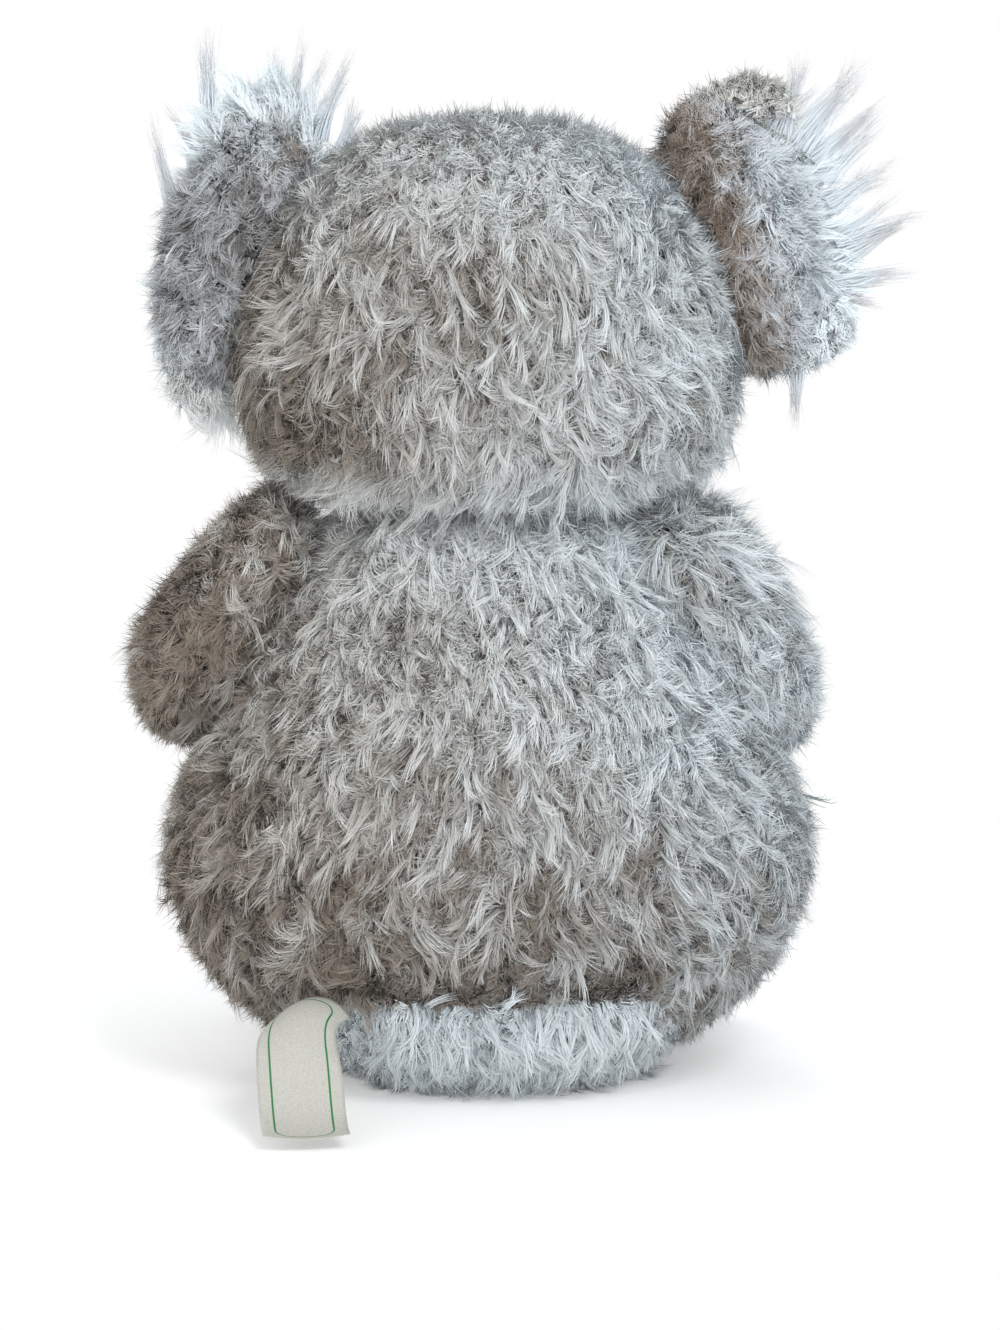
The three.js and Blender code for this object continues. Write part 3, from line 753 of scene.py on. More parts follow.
def strands_of(look, tufts, seed):
    """Vertices, their normals, and each strand's tone, of tufts of flat strands that narrow to a point."""
    rng = np.random.default_rng(seed)
    normals, combs = tufts.normals, tufts.combs
    count, each, steps = len(normals), look.strands, look.steps
    t = np.linspace(0, 1, steps + 1)
    middle = (t[1:] + t[:-1]) / 2
    sides = np.cross(normals, combs)
    rise = look.rise[0] + (look.rise[1] - look.rise[0]) * middle**strand.rise_curve
    rise = rise * (1 - tufts.pressed[:, None]) + rng.normal(0, look.uneven, (count, 1))
    loose = strand.least_loose + (1 - strand.least_loose) * tufts.stray[:, None]
    turn = rng.normal(0, look.sway, (count, 1)) + rng.normal(0, look.curl, (count, 1)) * middle
    turn = (turn + tufts.bends[:, None] * (middle - strand.bend_from)) * loose
    rise, turn = (rise * degree)[..., None], (turn * degree)[..., None]
    along = combs[:, None] * np.cos(turn) + sides[:, None] * np.sin(turn)
    way = along * np.cos(rise) + normals[:, None] * np.sin(rise)
    across = unit(np.cross(normals[:, None], along))
    under = np.cross(across, way)
    guide = np.cumsum(way, 1) * (tufts.lengths / steps)[:, None, None]
    guide = np.concatenate([np.zeros((count, 1, 3)), guide], 1)
    across = np.concatenate([across, across[:, -1:]], 1)[:, None]
    under = np.concatenate([under, under[:, -1:]], 1)[:, None]
    radius = tufts.spreads[:, None, None, None] * np.sqrt(rng.uniform(0, 1, (count, each, 1, 1)))
    bearing = rng.uniform(0, 2 * math.pi, (count, each, 1, 1))
    narrow = (1 - (1 - look.clump) * t**strand.narrow_curve)[None, None, :, None]
    bend = rng.normal(0, look.frizz, (2, count, each, 1, 1)) * (t**2)[:, None]
    offset = across * (radius * np.cos(bearing) * narrow + bend[0])
    offset = offset + under * (radius * np.sin(bearing) * narrow + bend[1])
    reach = rng.uniform(*strand.reach, (count, each, 1, 1))
    line = tufts.roots[:, None, None] + guide[:, None] * reach + offset
    twist = rng.normal(0, strand.twist, (count, each, 1, 1)) * degree
    narrower = (1 - strand.taper * t**strand.taper_curve)[:, None]
    half = (look.width / 2) * rng.uniform(*strand.width, (count, each, 1, 1)) * narrower
    spread = (across * np.cos(twist) + under * np.sin(twist)) * half
    pairs = np.stack([line - spread, line + spread], 3)[:, :, :-1].reshape(count, each, 2 * steps, 3)
    corners = np.concatenate([pairs, line[:, :, -1:]], 2)
    outs = unit(across * np.sin(twist) - under * np.cos(twist) + normals[:, None, None] * strand.light)
    outs = np.concatenate([np.repeat(outs[:, :, :-1], 2, 2), outs[:, :, -1:]], 2)
    tone = tufts.tones[:, None] + rng.normal(0, look.fine_tone, (count, each))
    shape = (count * each, 2 * steps + 1, 3)
    return corners.reshape(shape), outs.reshape(shape), np.clip(tone.ravel(), *strand.tones)


def fur_mesh(name, look, corners, outs, tone):
    """One mesh of strands. Each is a run of quads that ends in a triangle."""
    count, each, _ = corners.shape
    steps = (each - 1) // 2
    ribbon = [k for i in range(steps - 1) for k in (2 * i + 1, 2 * i, 2 * i + 2, 2 * i + 3)]
    ribbon += [2 * steps - 1, 2 * steps - 2, 2 * steps]
    sizes = [4] * (steps - 1) + [3]
    loops = (np.arange(count)[:, None] * each + np.array(ribbon)).ravel()
    starts = np.concatenate([[0], np.cumsum(np.tile(sizes, count))[:-1]])
    mesh = bpy.data.meshes.new(name)
    mesh.vertices.add(count * each)
    mesh.vertices.foreach_set("co", corners.astype(np.float32).ravel())
    mesh.loops.add(len(loops))
    mesh.loops.foreach_set("vertex_index", loops.astype(np.int32))
    mesh.polygons.add(len(starts))
    mesh.polygons.foreach_set("loop_start", starts.astype(np.int32))
    mesh.update(calc_edges=True)
    half_band = 0.02
    bands = np.array([-half_band, half_band] * steps + [0.0])
    heights = np.array([i / steps for i in range(steps) for _ in range(2)] + [1.0])
    heights = look.pale[0] + (look.pale[1] - look.pale[0]) * heights
    spots = np.stack([tone[:, None] + bands, np.broadcast_to(heights, (count, each))], -1)
    layer = mesh.uv_layers.new(name=uv_name)
    layer.data.foreach_set("uv", spots.reshape(-1, 2)[loops].astype(np.float32).ravel())
    mesh.shade_smooth()
    mesh.normals_split_custom_set_from_vertices(outs.reshape(-1, 3))
    mesh.materials.append(materials[look.paint or look.slot])
    piece = bpy.data.objects.new(name, mesh)
    bpy.context.scene.collection.objects.link(piece)
    return piece


def grow(node, look, tufts, seed):
    """One layer of a panel's fur, in as many pieces as their faces need."""
    faces = len(tufts.roots) * look.strands * (2 * look.steps - 1)
    parts = max(1, math.ceil(faces / most_faces))
    order = np.argsort(tufts.roots[:, 2], kind="stable")
    for number, chosen in enumerate(np.array_split(order, parts)):
        picked = Named(**{key: values[chosen] for key, values in vars(tufts).items()})
        corners, outs, tone = strands_of(look, picked, seed + number)
        corners[..., 2] = np.maximum(corners[..., 2], floor_clear)
        name = f"{node}_{look.kind}" + (f"_{number + 1}" if parts > 1 else "")
        settle(fur_mesh(name, look, corners, outs, tone), look.slot, node)


# Fur directions and lengths

down, sideways = np.array([0, 0, -1.0]), np.array([1.0, 0, 0])
# The grey pile is shorter just above the seat's seam, and the white pile just under it
seam_shy = Named(share=0.66, within=0.012, up=0.044, ragged=0.004)
seat_shy = Named(share=0.2, start=0.002, end=0.006)


def ear_reach(side, points):
    """How far each point lies from the line that the ear folds on."""
    point, _, out = ear_frame(side)
    return (points - point) @ out


def within(side, reach):
    return lambda points: ear_reach(side, points) < reach


def seam_behind(across):
    """How far behind the toy's middle the seat's seam lies."""
    return seat.back + seat.half_depth * (1 - np.minimum(np.abs(across) / seat.half_width, 1) ** 3) ** (1 / 3)


def seat_edge(points):
    """How near the inner side of the seat's seam each point behind the toy lies."""
    behind = seam_behind(points[:, 0]) - points[:, 1]
    near = (behind > 0) * (points[:, 1] > 0) * (points[:, 2] < seam_shy.up)
    return near * (1 - smooth(behind, seat_shy.start, seat_shy.end))


# What a step may be measured along
measures = {
    "x": lambda points: points[:, 0],
    "z": lambda points: points[:, 2],
    "off": lambda points: np.abs(points[:, 0]),
    "label": lambda points: np.abs(points[:, 0] - label.across),
    "label_root": lambda points: np.abs(points[:, 0] - label.across + 0.002),
    "left": lambda points: ear_reach(1, points),
    "right": lambda points: ear_reach(-1, points),
}
aside = ("off", 0.042, 0.06)
cap = ("z", 0.275, 0.292), ("x", -0.104, -0.094)  # the top of the right ear

# Rows of how a panel's name starts, how it ends, and terms. A term is an amount, times steps that rise from 0 at
# their first value to 1 at their second. Each row of lengths is a factor: 1 and its terms
length_rows = [
    ("back_panel", "", (-0.45, aside, ("z", 0.04, 0.005))),
    ("back_panel", "", (0.45, ("z", 0.148, 0.168))),
    ("seat_panel", "", (-0.6, aside)),
    ("seat_panel", "", (-0.65, ("label", 0.019, 0.013))),
    ("head_panel", "", (-0.35, ("off", 0.003, 0))),
    ("head_panel", "", (-0.3, ("z", 0.262, 0.29))),
    ("head_panel", "", (0.45, ("z", 0.205, 0.182))),
    ("arm_", "left", (-0.35, ("z", 0.14, 0.17), ("x", 0.06, 0.075))),
    ("arm_", "right", (-0.15,), (0.75, ("z", 0.135, 0.165))),
    ("ear_front", "right", (-0.7, ("z", 0.255, 0.222))),
    ("ear_front", "right", (-0.65, *cap)),
    ("ear_back", "right", (0.3, ("right", 0.016, 0.026))),
    ("ear_back", "right", (-0.3, ("z", 0.28, 0.295))),
    ("ear_front", "left", (0.35, ("z", 0.25, 0.285)), (-0.3, ("z", 0.24, 0.225))),
    ("ear_front", "left", (1.2, ("z", 0.222, 0.208))),
    ("ear_back_left", "", (0.35, ("left", 0.012, 0.022)), (-0.5, ("z", 0.272, 0.29)), (-0.45, ("z", 0.24, 0.222))),
]
# Painted light on the crown, on the upper right (-X) side of the head and at its bottom by the neck, and painted
# shade low on its left (+X)
head_light_and_shade = [
    (0.55, ("z", 0.255, 0.288)), (0.25, ("x", -0.02, -0.05), ("z", 0.205, 0.23)), (0.45, ("z", 0.2, 0.182)),
    (-0.3, ("x", 0, 0.045), ("z", 0.22, 0.195), ("z", 0.182, 0.2)), (0.2, ("x", 0.02, 0.05), ("z", 0.255, 0.28)),
]
tone_rows = [
    ("head_panel", "", *head_light_and_shade),
    ("face_panel", "", *head_light_and_shade),
    # Painted light on the back's right (-X) side and at its top under the head
    ("back_panel", "", (0.2, ("x", -0.015, -0.045), ("z", 0.08, 0.12)), (0.3, ("z", 0.152, 0.166))),
    # Painted shade along the ears' roots by the head, and painted light at their rims and on the left ear's top
    ("ear_back", "left", (-0.25, ("left", 0.015, 0.002)), (0.1, ("left", 0.014, 0.025))),
    ("ear_back", "left", (0.3, ("z", 0.268, 0.285))),
    ("ear_back", "right", (-0.55, ("right", 0.015, 0.002)), (0.45, ("right", 0.014, 0.025))),
    ("ear_front", "left", (-0.58, ("z", 0.235, 0.217))),
    ("ear_front", "right", (-0.68, *cap)),
]
press_rows = [
    ("back_panel", "", (0.3, ("z", 0.15, 0.168))),
    ("head_panel", "", (0.62, ("z", 0.25, 0.285))),
    ("face_panel", "", (0.62, ("z", 0.25, 0.285))),
]
# Painted shade low on the body: the fur darkens towards the bottom, a fifth less on the toy's left (+X)
low_shade_part = ("z", 0.16, 0.035)
low_shade_terms = [(1, low_shade_part), (-0.2, low_shade_part, ("x", -0.03, 0.08))]
seam_terms = [(1, ("off", 0.06, 0.042), ("label_root", 0.012, 0.017))]


def total(terms, points):
    result = np.zeros(len(points))
    for amount, *steps in terms:
        part = np.full(len(points), float(amount))
        for kind, low, high in steps:
            part *= smooth(measures[kind](points), low, high)
        result += part
    return result


def told(rows, node, points):
    """What each row for this panel adds up to."""
    return [total(terms, points) for start, end, *terms in rows if node.startswith(start) and node.endswith(end)]


def about(*terms):
    return lambda points: total(terms, points)


# The fur lies straight in the middle of the back and head, and curls low down and at their sides
curlier_low = about((1,), (-0.65, ("z", 0.05, 0.1), ("off", 0.085, 0.04)))
curlier_down = about((1,), (-0.55, ("z", 0.21, 0.25), ("off", 0.07, 0.045)))


def length_share(node, points):
    """How long the fur is beside what its look says."""
    share = np.ones(len(points))
    for factor in told(length_rows, node, points):
        share *= 1 + factor
    if node.startswith("back_panel"):
        edge = seam_shy.up + seam_shy.ragged * swirl(points, swell.size, 6)
        below = 1 - smooth(points[:, 2], edge, edge + seam_shy.within)
        share *= 1 - seam_shy.share * total(seam_terms, points) * below
    if node == "seat_panel":
        share *= 1 - seat_shy.share * seat_edge(points)
    return share


def press(node, points):
    """How much flatter the fur lies than its look says, from 0 to 1: on the crown and at the neck."""
    return sum(told(press_rows, node, points), np.zeros(len(points)))


def tone_share(node, look, points):
    """How warm and dark, towards 0, or cool and pale, towards 1, the fur is: painted shade darkens it on the toy's
    left (+X) and low down, painted light pales it on the right, and the rows add to that.
    """
    tone = look.tone - look.side_tone * points[:, 0] / torso.half_width
    return sum(told(tone_rows, node, points), tone - look.low_tone * total(low_shade_terms, points))


def falls(points, normals):
    """Down, outwards where the surface lies on the floor, and up over the seat's seam behind."""
    outwards = unit(points * np.array([1, 1, 0]))
    under = smooth(-normals[:, 2:], *comb_by.flat)
    over = seat_edge(points)[:, None]
    return (down * (1 - under) + outwards * under) * (1 - over) - down * over


def over_head(points, normals):
    """Up the face, back over the top and down behind."""
    ridge = np.cross(normals, sideways)
    return ridge + down * smooth(np.abs(normals[:, :1]), *comb_by.temples) * comb_by.temple_fall


def from_nose(points, normals):
    spot = np.array([0, -head.front, head_up + nose.rise])
    away = unit(points - spot)
    near = 1 - smooth(np.linalg.norm(points - spot, axis=-1, keepdims=True), *comb_by.nose)
    return away * near + falls(points, normals) * (1 - near)


def along_arm(side):
    share = np.linspace(0.1, 0.95, 40)
    line = arm_middle(side, share)[0]
    ways = unit(np.gradient(line, axis=0))

    def comb(points, normals):
        nearest = np.argmin(np.linalg.norm(points[:, None] - line, axis=-1), axis=1)
        return ways[nearest] + down * comb_by.arm_fall

    return comb


def along_leg(side):
    return lambda points, normals: np.broadcast_to(leg_ahead(side), points.shape) + down * comb_by.leg_fall


def from_ear_root(side):
    """Outwards from the ear's root."""
    point, along, out = ear_frame(side)

    def comb(points, normals):
        low = max(side, 0) * (1 - smooth(points[:, 2:], *comb_by.left_low))
        away = unit(points - (point - out * comb_by.ear_root)) + out * comb_by.ear_out
        return away * (1 - low) + (down - out * comb_by.left_in) * low

    return comb


def down_ear(side):
    """Down along the ear's root, up at its top and outwards at its rim."""
    point, along, out = ear_frame(side)

    def comb(points, normals):
        top = smooth((points - point) @ along, *comb_by.ear_top)[:, None]
        rim = smooth(ear_reach(side, points), *comb_by.rim)[:, None]
        return along * (comb_by.top_rise * top - 1) + out * (comb_by.least_out + comb_by.rim_out * rim)

    return comb


def dress(
    form, nodes, looks, comb, wild, size, seed, beside=(), covers=(), inner=None, grows=None, depth=skin_depth
):
    """Every layer of fur on every panel of a form. What another form covers stays short, for the poses that bare
    it. wild(points) is how far the tufts stray from the way that comb(points, normals) gives, and grows(points) is
    true where there is fur."""
    layers = sorted({look.kind for node in nodes for look in looks[node]})
    clumps = Clumps(form, comb, wild, size, seed)
    for step, kind in enumerate(layers):
        layer = {node: look for node in nodes for look in looks[node] if look.kind == kind}
        apart = max(look.apart for look in layer.values())
        points, normals = scatter(form, apart, seed + step)
        owner = nearest_node(points, nodes, near_node)
        deepest = np.max([np.zeros(len(points)), *(forms[other].depth_of(points) for other in covers)], axis=0)
        shown = 1 - cover.short * smooth(deepest, cover.start, cover.full)
        for number, (node, look) in enumerate(layer.items()):
            here = owner == nodes.index(node)
            others = [other for other in (*nodes, *beside) if other != node]
            more, outs = bared(node, form, others, inner, apart, seed + 7 + number)
            spots, outs = np.concatenate([points[here], more]), np.concatenate([normals[here], outs])
            short = np.concatenate([shown[here], np.full(len(more), look.bare)])
            if grows is not None:
                kept = grows(spots)
                spots, outs, short = spots[kept], outs[kept], short[kept]
            stray = wild(spots)
            rng = np.random.default_rng(seed + 2 + number + 31 * step)
            wave = swirl(spots, swell.size, seed + 4)
            lengths = look.length * rng.uniform(*mottled.lengths, len(spots)) * short * length_share(node, spots)
            ways = combed(comb(spots, outs), outs, spots, stray, size, seed + 1)
            ways, shade, bends, edge = clumps.gather(spots, outs, ways, lengths)
            # A clump's own tone, painted shade at its edge where the gaps are, and the tone's swell
            shade = look.contrast * (shade - clump.dark * edge + swell.tone * wave)
            uneven = mottled.soft * swirl(spots, mottled.size, seed + 3) + rng.normal(0, mottled.fine, len(spots))
            tufts = Named(
                roots=spots - outs * depth,
                normals=outs,
                combs=ways,
                lengths=lengths * (1 + look.ridge * wave) * (1 - clump.shy * look.contrast * edge),
                tones=tone_share(node, look, spots) + look.mottle * uneven + shade,
                stray=stray,
                spreads=np.full(len(spots), look.spread),
                pressed=press(node, spots),
                bends=bends,
            )
            grow(node, look, tufts, seed * 10 + number + 500 * step)


def backed(nodes, form, material, slot, depth=skin_depth):
    """The panels' backings, which the fur stands on."""
    for node in nodes:
        piece = shared(f"{node}_backing", form, depth, node, material)
        settle(piece, slot, node)


def stuff(node, form):
    piece = shared(f"{node}_wadding", form, stuffing_depth, node, wadding_fill)
    settle(piece, "stuffing", node)


# Body

# The body's side and low tones paint shade on its left (+X) and low down, and light on its right
grey = [coat(side_tone=0.25, low_tone=0.48, tone=0.67), fuzz(side_tone=0.3, low_tone=0.48, tone=0.62)]
# Painted light: the seat's white takes the paler, bluer end of its paint where it sits low in shade; the belly's
# is the plain middle
seat_white, belly_white = [
    [
        coat(
            slot="white_fur", width=0.0004, rise=(50, -2), sway=10, curl=22, tone=tone, ridge=0.12, contrast=0.15,
        ),
        fuzz(slot="white_fur", strands=28, sway=40, frizz=0.0015, tone=tone, contrast=0.25),
    ]
    for tone in (0.9, 0.52)
]
body_panels = ["back_panel_left", "back_panel_right", "belly_panel", "seat_panel"]
backed(body_panels[:2], forms["torso"], grey_backing, "grey_fur")
backed(body_panels[2:], forms["torso"], white_backing, "white_fur")
stuff("body_stuffing", forms["torso"])
dress(
    forms["torso"], body_panels,
    {"back_panel_left": grey, "back_panel_right": grey, "belly_panel": belly_white, "seat_panel": seat_white},
    falls, curlier_low, 0.04, 11, ["body_stuffing"], ("head", "arm_left", "arm_right", "leg_left", "leg_right"),
)

# Head

head_panels = ["head_panel_left", "head_panel_right", "face_panel"]
face_nodes = ["nose", "nose_washer", "eye_left", "eye_right", "eye_washer_left", "eye_washer_right"]
# The side tones paint shade on the head's left (+X) and light on its right
head_grey = [coat(side_tone=0.2, tone=0.46), fuzz(side_tone=0.25, tone=0.41)]
face_grey = [
    coat(side_tone=0.2, length=0.0115, rise=(55, 2), frizz=0.0006, spread=0.0013),
    fuzz(side_tone=0.2, length=0.007, strands=24),
]
backed(head_panels, forms["head"], grey_backing, "grey_fur")
backed(["muzzle_panel"], forms["muzzle"], white_backing, "white_fur", muzzle_depth)
stuff("head_stuffing", forms["head"])
dress(
    forms["head"], head_panels, dict(zip(head_panels, (head_grey, head_grey, face_grey))), over_head,
    curlier_down, 0.045, 21, [*face_nodes, "head_stuffing"],
    ("torso", "muzzle", "ear_back_left", "ear_back_right", "ear_front_left", "ear_front_right"),
)
muzzle_fur = [
    coat(
        slot="white_fur", apart=0.003, length=0.0095, width=0.0003, rise=(45, 0), sway=10, curl=18, frizz=0.0005,
        tone=0.5, contrast=0.3,
    ),
    fuzz(slot="white_fur", length=0.006, strands=16, width=0.0004, sway=40, frizz=0.001, tone=0.5, contrast=0.3),
]
dress(
    forms["muzzle"], ["muzzle_panel"], {"muzzle_panel": muzzle_fur}, from_nose, about((0.3,)), 0.03, 31,
    ["nose", "face_panel"], ("head",),
)

# Limbs and ears

# The side tone paints shade on the left arm and leg and light on the right ones
limb_fur = [
    coat(length=0.0155, side_tone=0.36, tone=0.47, contrast=1.4),
    fuzz(side_tone=0.36, tone=0.4, contrast=1.4),
]
foot_fur = [
    coat(
        slot="white_fur", apart=0.003, length=0.009, rise=(55, 10), curl=30, frizz=0.0005, tone=0.5, contrast=0.3,
    ),
    fuzz(slot="white_fur", length=0.006, strands=18, tone=0.5, contrast=0.3),
]
ear_back_fur = {
    side: [
        coat(
            slot="ear_fur", paint=paint, length=0.0115, rise=(50, -6), spread=0.0013, curl=45, tone=tone,
            mottle=0.26, fine_tone=0.12,
        ),
        fuzz(slot="ear_fur", paint=paint, length=0.0065, tone=tone - 0.06, mottle=0.14, fine_tone=0.14),
    ]
    for side, paint, tone in ((1, "cool_ear_fur", 0.62), (-1, "ear_fur", 0.84))
}
# Painted light: the ears' fronts take the paler, bluer end of the white
ear_front_fur = {
    side: [
        coat(
            slot="white_fur", length=length, width=0.00036, rise=(34, -2), curl=14, sway=8, tone=0.94,
            bare=1.0, frizz=0.0008, contrast=0.2,
        ),
        fuzz(slot="white_fur", length=0.0065, sway=30, rise=(50, 15), tone=0.88, bare=0.9, contrast=0.35),
    ]
    for side, length in {1: 0.013, -1: 0.016}.items()
}
for side, name in side_names.items():
    for kind, parts, comb, wild, seed in (
        ("arm", ["arm_outer_panel", "arm_inner_panel"], along_arm(side), 1, 41),
        ("leg", ["leg_upper_panel", "leg_lower_panel", "foot_sole"], along_leg(side), 0.8, 51),
    ):
        panels = [f"{part}_{name}" for part in parts]
        form, inside = forms[f"{kind}_{name}"], f"{kind}_stuffing_{name}"
        backed(panels[:2], form, grey_backing, "grey_fur")
        backed(panels[2:], form, white_backing, "white_fur")
        stuff(inside, form)
        looks = dict(zip(panels, (limb_fur, limb_fur, foot_fur)))
        dress(form, panels, looks, comb, about((wild,)), 0.04, seed + side, [inside], ("torso",))
    back, front = f"ear_back_{name}", f"ear_front_{name}"
    backed([back], pads[back], grey_backing, "ear_fur", 0)
    backed([front], pads[front], white_backing, "white_fur", 0)
    dress(
        forms[back], [back], {back: ear_back_fur[side]}, down_ear(side), about((0.7,)), 0.03, 61 + side, [front],
        ("head",), depth=ear_depth,
    )
    dress(
        forms[front], [front], {front: ear_front_fur[side]}, from_ear_root(side), about((0.6,)), 0.03, 65 + side,
        [], ("head",), pads[back], within(side, fringe_root[side] + 0.002), ear_depth,
    )

# Locks of long fur round the ears in millimetres: across and up at the root and at the tip, and the root's radius
ear_locks = {
    1: [
        [83, 294, 86, 323.8, 4.2], [94.5, 255, 105, 297, 4.2], [86, 270, 93.5, 302, 4],
        [66, 292, 62.5, 316, 3.4], [60, 291, 52.5, 320.5, 4.5], [53, 288, 43, 316.5, 4.2],
        [46.5, 283.5, 37.2, 300, 2.8], [73, 292, 74, 306, 3.8],
    ],
    -1: [
        [-88, 290, -99.7, 313.7, 4], [-92, 288, -111.2, 317.6, 4.4], [-96, 284, -117.3, 311.5, 4],
        [-99, 281, -120.4, 304.2, 4], [-102, 275, -122.1, 296.4, 4.4], [-104, 268, -125.3, 283.4, 4],
        [-106, 257, -132.8, 269.8, 3.8], [-106, 250, -132.8, 262.4, 3.8], [-105, 243, -131.8, 245.7, 4.4],
        [-103, 241, -121.4, 236.6, 3.4], [-101, 234, -110.6, 221.4, 3.6], [-97, 229, -104.5, 216.7, 4],
        [-94, 223, -96.3, 198, 4],
    ],
}
millimetre = 0.001
wisps = Named(count=3, stray=0.1, shorter=0.14, across=0.35)  # in each lock
lock_look = coat(
    kind="locks", slot="white_fur", paint="lock_fur", strands=34, steps=6, width=0.00026, clump=0.14, rise=(2, -2),
    uneven=3, sway=2, curl=16, frizz=0.0011, tone=0.6, pale=(0.0, 1.0), fine_tone=0.2,
)
lock_back = -0.0025  # how far in front of the ear's seam they grow


def add_locks(side, node):
    rng = np.random.default_rng(81 + side)
    rows = np.repeat(np.array(ear_locks[side]) * millimetre, wisps.count, 0)
    roots, tips, thickness = rows[:, :2], rows[:, 2:4], rows[:, 4]
    ways, number = tips - roots, np.tile(np.arange(wisps.count), len(ear_locks[side]))[:, None]
    across = ways[:, ::-1] * np.array([1, -1]) * rng.normal(0, wisps.stray, (len(ways), 1))
    tips = roots + ways * (1 - wisps.shorter * number) + across * np.minimum(number, 1)
    roots = roots + across * wisps.across
    stand = [np.stack([spots[:, 0], np.full(len(spots), lock_back), spots[:, 1]], -1) for spots in (roots, tips)]
    count = len(roots)
    tufts = Named(
        roots=stand[0],
        normals=np.tile([0, 1.0, 0], (count, 1)),
        combs=unit(stand[1] - stand[0]),
        lengths=np.linalg.norm(stand[1] - stand[0], axis=1),
        tones=np.full(count, lock_look.tone),
        stray=np.ones(count),
        spreads=thickness,
        pressed=np.zeros(count),
        bends=np.zeros(count),
    )
    grow(node, lock_look, tufts, 71 + side)


for side, name in side_names.items():
    add_locks(side, f"ear_front_{name}")


# Eyes, nose and washers

def turned_shape(profile, around=48):
    """Points and faces of a profile of radius and height turned round +Z, from the axis back to it or closed."""
    points, faces, rows = [], [], []
    for radius, height in profile:
        if radius < 1e-9:
            rows.append([len(points)])
            points.append((0, 0, height))
            continue
        rows.append(list(range(len(points), len(points) + around)))
        points += [
            (radius * math.cos(k * 2 * math.pi / around), radius * math.sin(k * 2 * math.pi / around), height)
            for k in range(around)
        ]
    closed = len(rows[0]) > 1
    for low, high in zip(rows, rows[1:] + rows[:closed]):
        for k, n in round_pairs(around):
            corners = [low[k % len(low)], low[n % len(low)], high[n % len(high)], high[k % len(high)]]
            faces.append(list(dict.fromkeys(corners)))
    return points, faces


def stood(piece, place):
    """The piece's +Z stands on the face at a place."""
    spot, out = place
    piece.data.transform(out.to_track_quat("Z", "Y").to_matrix().to_4x4())
    piece.data.transform(Matrix.Translation(spot))
    return softened(piece)


def on_face(across, rise):
    start = Vector((across, -2 * head.front, head_up + rise))
    spot, out, _, _ = forms["head"].tree.ray_cast(start, Vector((0, 1, 0)))
    return spot, out


peg_profile = [
    (0, -peg.length), (peg.radius - peg.chamfer, -peg.length), (peg.radius, -peg.length + peg.chamfer),
]


def washer_profile():
    low, high = -washer.depth - washer.thickness, -washer.depth
    edge, hole, rim = washer.edge, washer.hole, washer.radius
    return [
        (hole, low + edge), (hole + edge, low), (rim - edge, low), (rim, low + edge),
        (rim, high - edge), (rim - edge, high), (hole + edge, high), (hole, high - edge),
    ]


def quarter(steps):
    """Turns from 0 to almost a right angle."""
    return [k / steps * math.pi / 2 for k in range(steps)]


def eye_profile():
    rim = eye.radius * eye.base_share
    curve = [(eye.radius * math.cos(turn), eye.depth * math.sin(turn) - eye.sink) for turn in quarter(12)]
    return [*peg_profile, (peg.radius, -eye.sink), (rim, -eye.sink), *curve, (0, eye.depth - eye.sink)]


def dome_profile():
    bottom, top = -nose.sink, nose.depth * nose.proud - nose.sink
    curve = [(math.cos(turn) ** nose.roundness, top * math.sin(turn)) for turn in quarter(14)]
    return [(0, bottom), (nose.base_share, bottom), *curve, (0, top)]


nose_place = on_face(0, nose.rise)
nose_out = Vector((0, nose_place[1].y, nose_place[1].z)).normalized()
nose_place = (nose_place[0], nose_out)
for side, name in side_names.items():
    place = on_face(side * eye.across, eye.rise)
    bead = piece_of(f"eye_bead_{name}", *turned_shape(eye_profile()), eye_gloss)
    settle(stood(bead, place), "black_plastic", f"eye_{name}")
    ring = piece_of(f"eye_washer_ring_{name}", *turned_shape(washer_profile()), washer_plastic)
    settle(stood(ring, place), "washer_plastic", f"eye_washer_{name}")
ring = piece_of("nose_washer_ring", *turned_shape(washer_profile()), washer_plastic)
settle(stood(ring, nose_place), "washer_plastic", "nose_washer")

nose_points, nose_faces = turned_shape(dome_profile(), 64)
nose_points = np.array(nose_points) * np.array([nose.half_width, nose.half_height, 1])
button = piece_of("nose_button", nose_points, nose_faces, nose_grain)
settle(stood(button, nose_place), "black_plastic", "nose")


# Label

def label_material():
    paint = Paint("label_satin", 0.5, 0.1)
    weave = paint.noise(2600, 1, (1, 0.25, 1))
    paint.bump(weave, 0.25, 0.0001)
    cloth = paint.ramp(weave, (0.3, 0.7), (linear(184, 183, 174), linear(203, 202, 194)))
    past = []
    for share, size in zip(paint.uv(), (label.width, label.length)):
        away = paint.maths("ABSOLUTE", paint.maths("MULTIPLY_ADD", share, size, -0.5 * size))
        straight = 0.5 * size - border.margin - border.radius
        past.append(paint.maths("MAXIMUM", paint.maths("SUBTRACT", away, straight), 0))
    corner = paint.node("CombineXYZ", {"X": past[0], "Y": past[1]})["Vector"]
    far = paint.node("VectorMath", {0: corner}, operation="LENGTH")["Value"]
    line = paint.maths("COMPARE", far, border.radius, border.half_line)
    return paint.color(paint.blend(line, cloth, linear(30, 122, 62)))


def seam_root():
    """Where the label leaves the seat's seam, and the way out of the body there."""
    start = Vector((label.across, seam_behind(label.across), -torso.height))
    spot, out, _, _ = forms["torso"].tree.ray_cast(start, Vector((0, 0, 1)))
    return spot + out * (gap + label.thickness), out


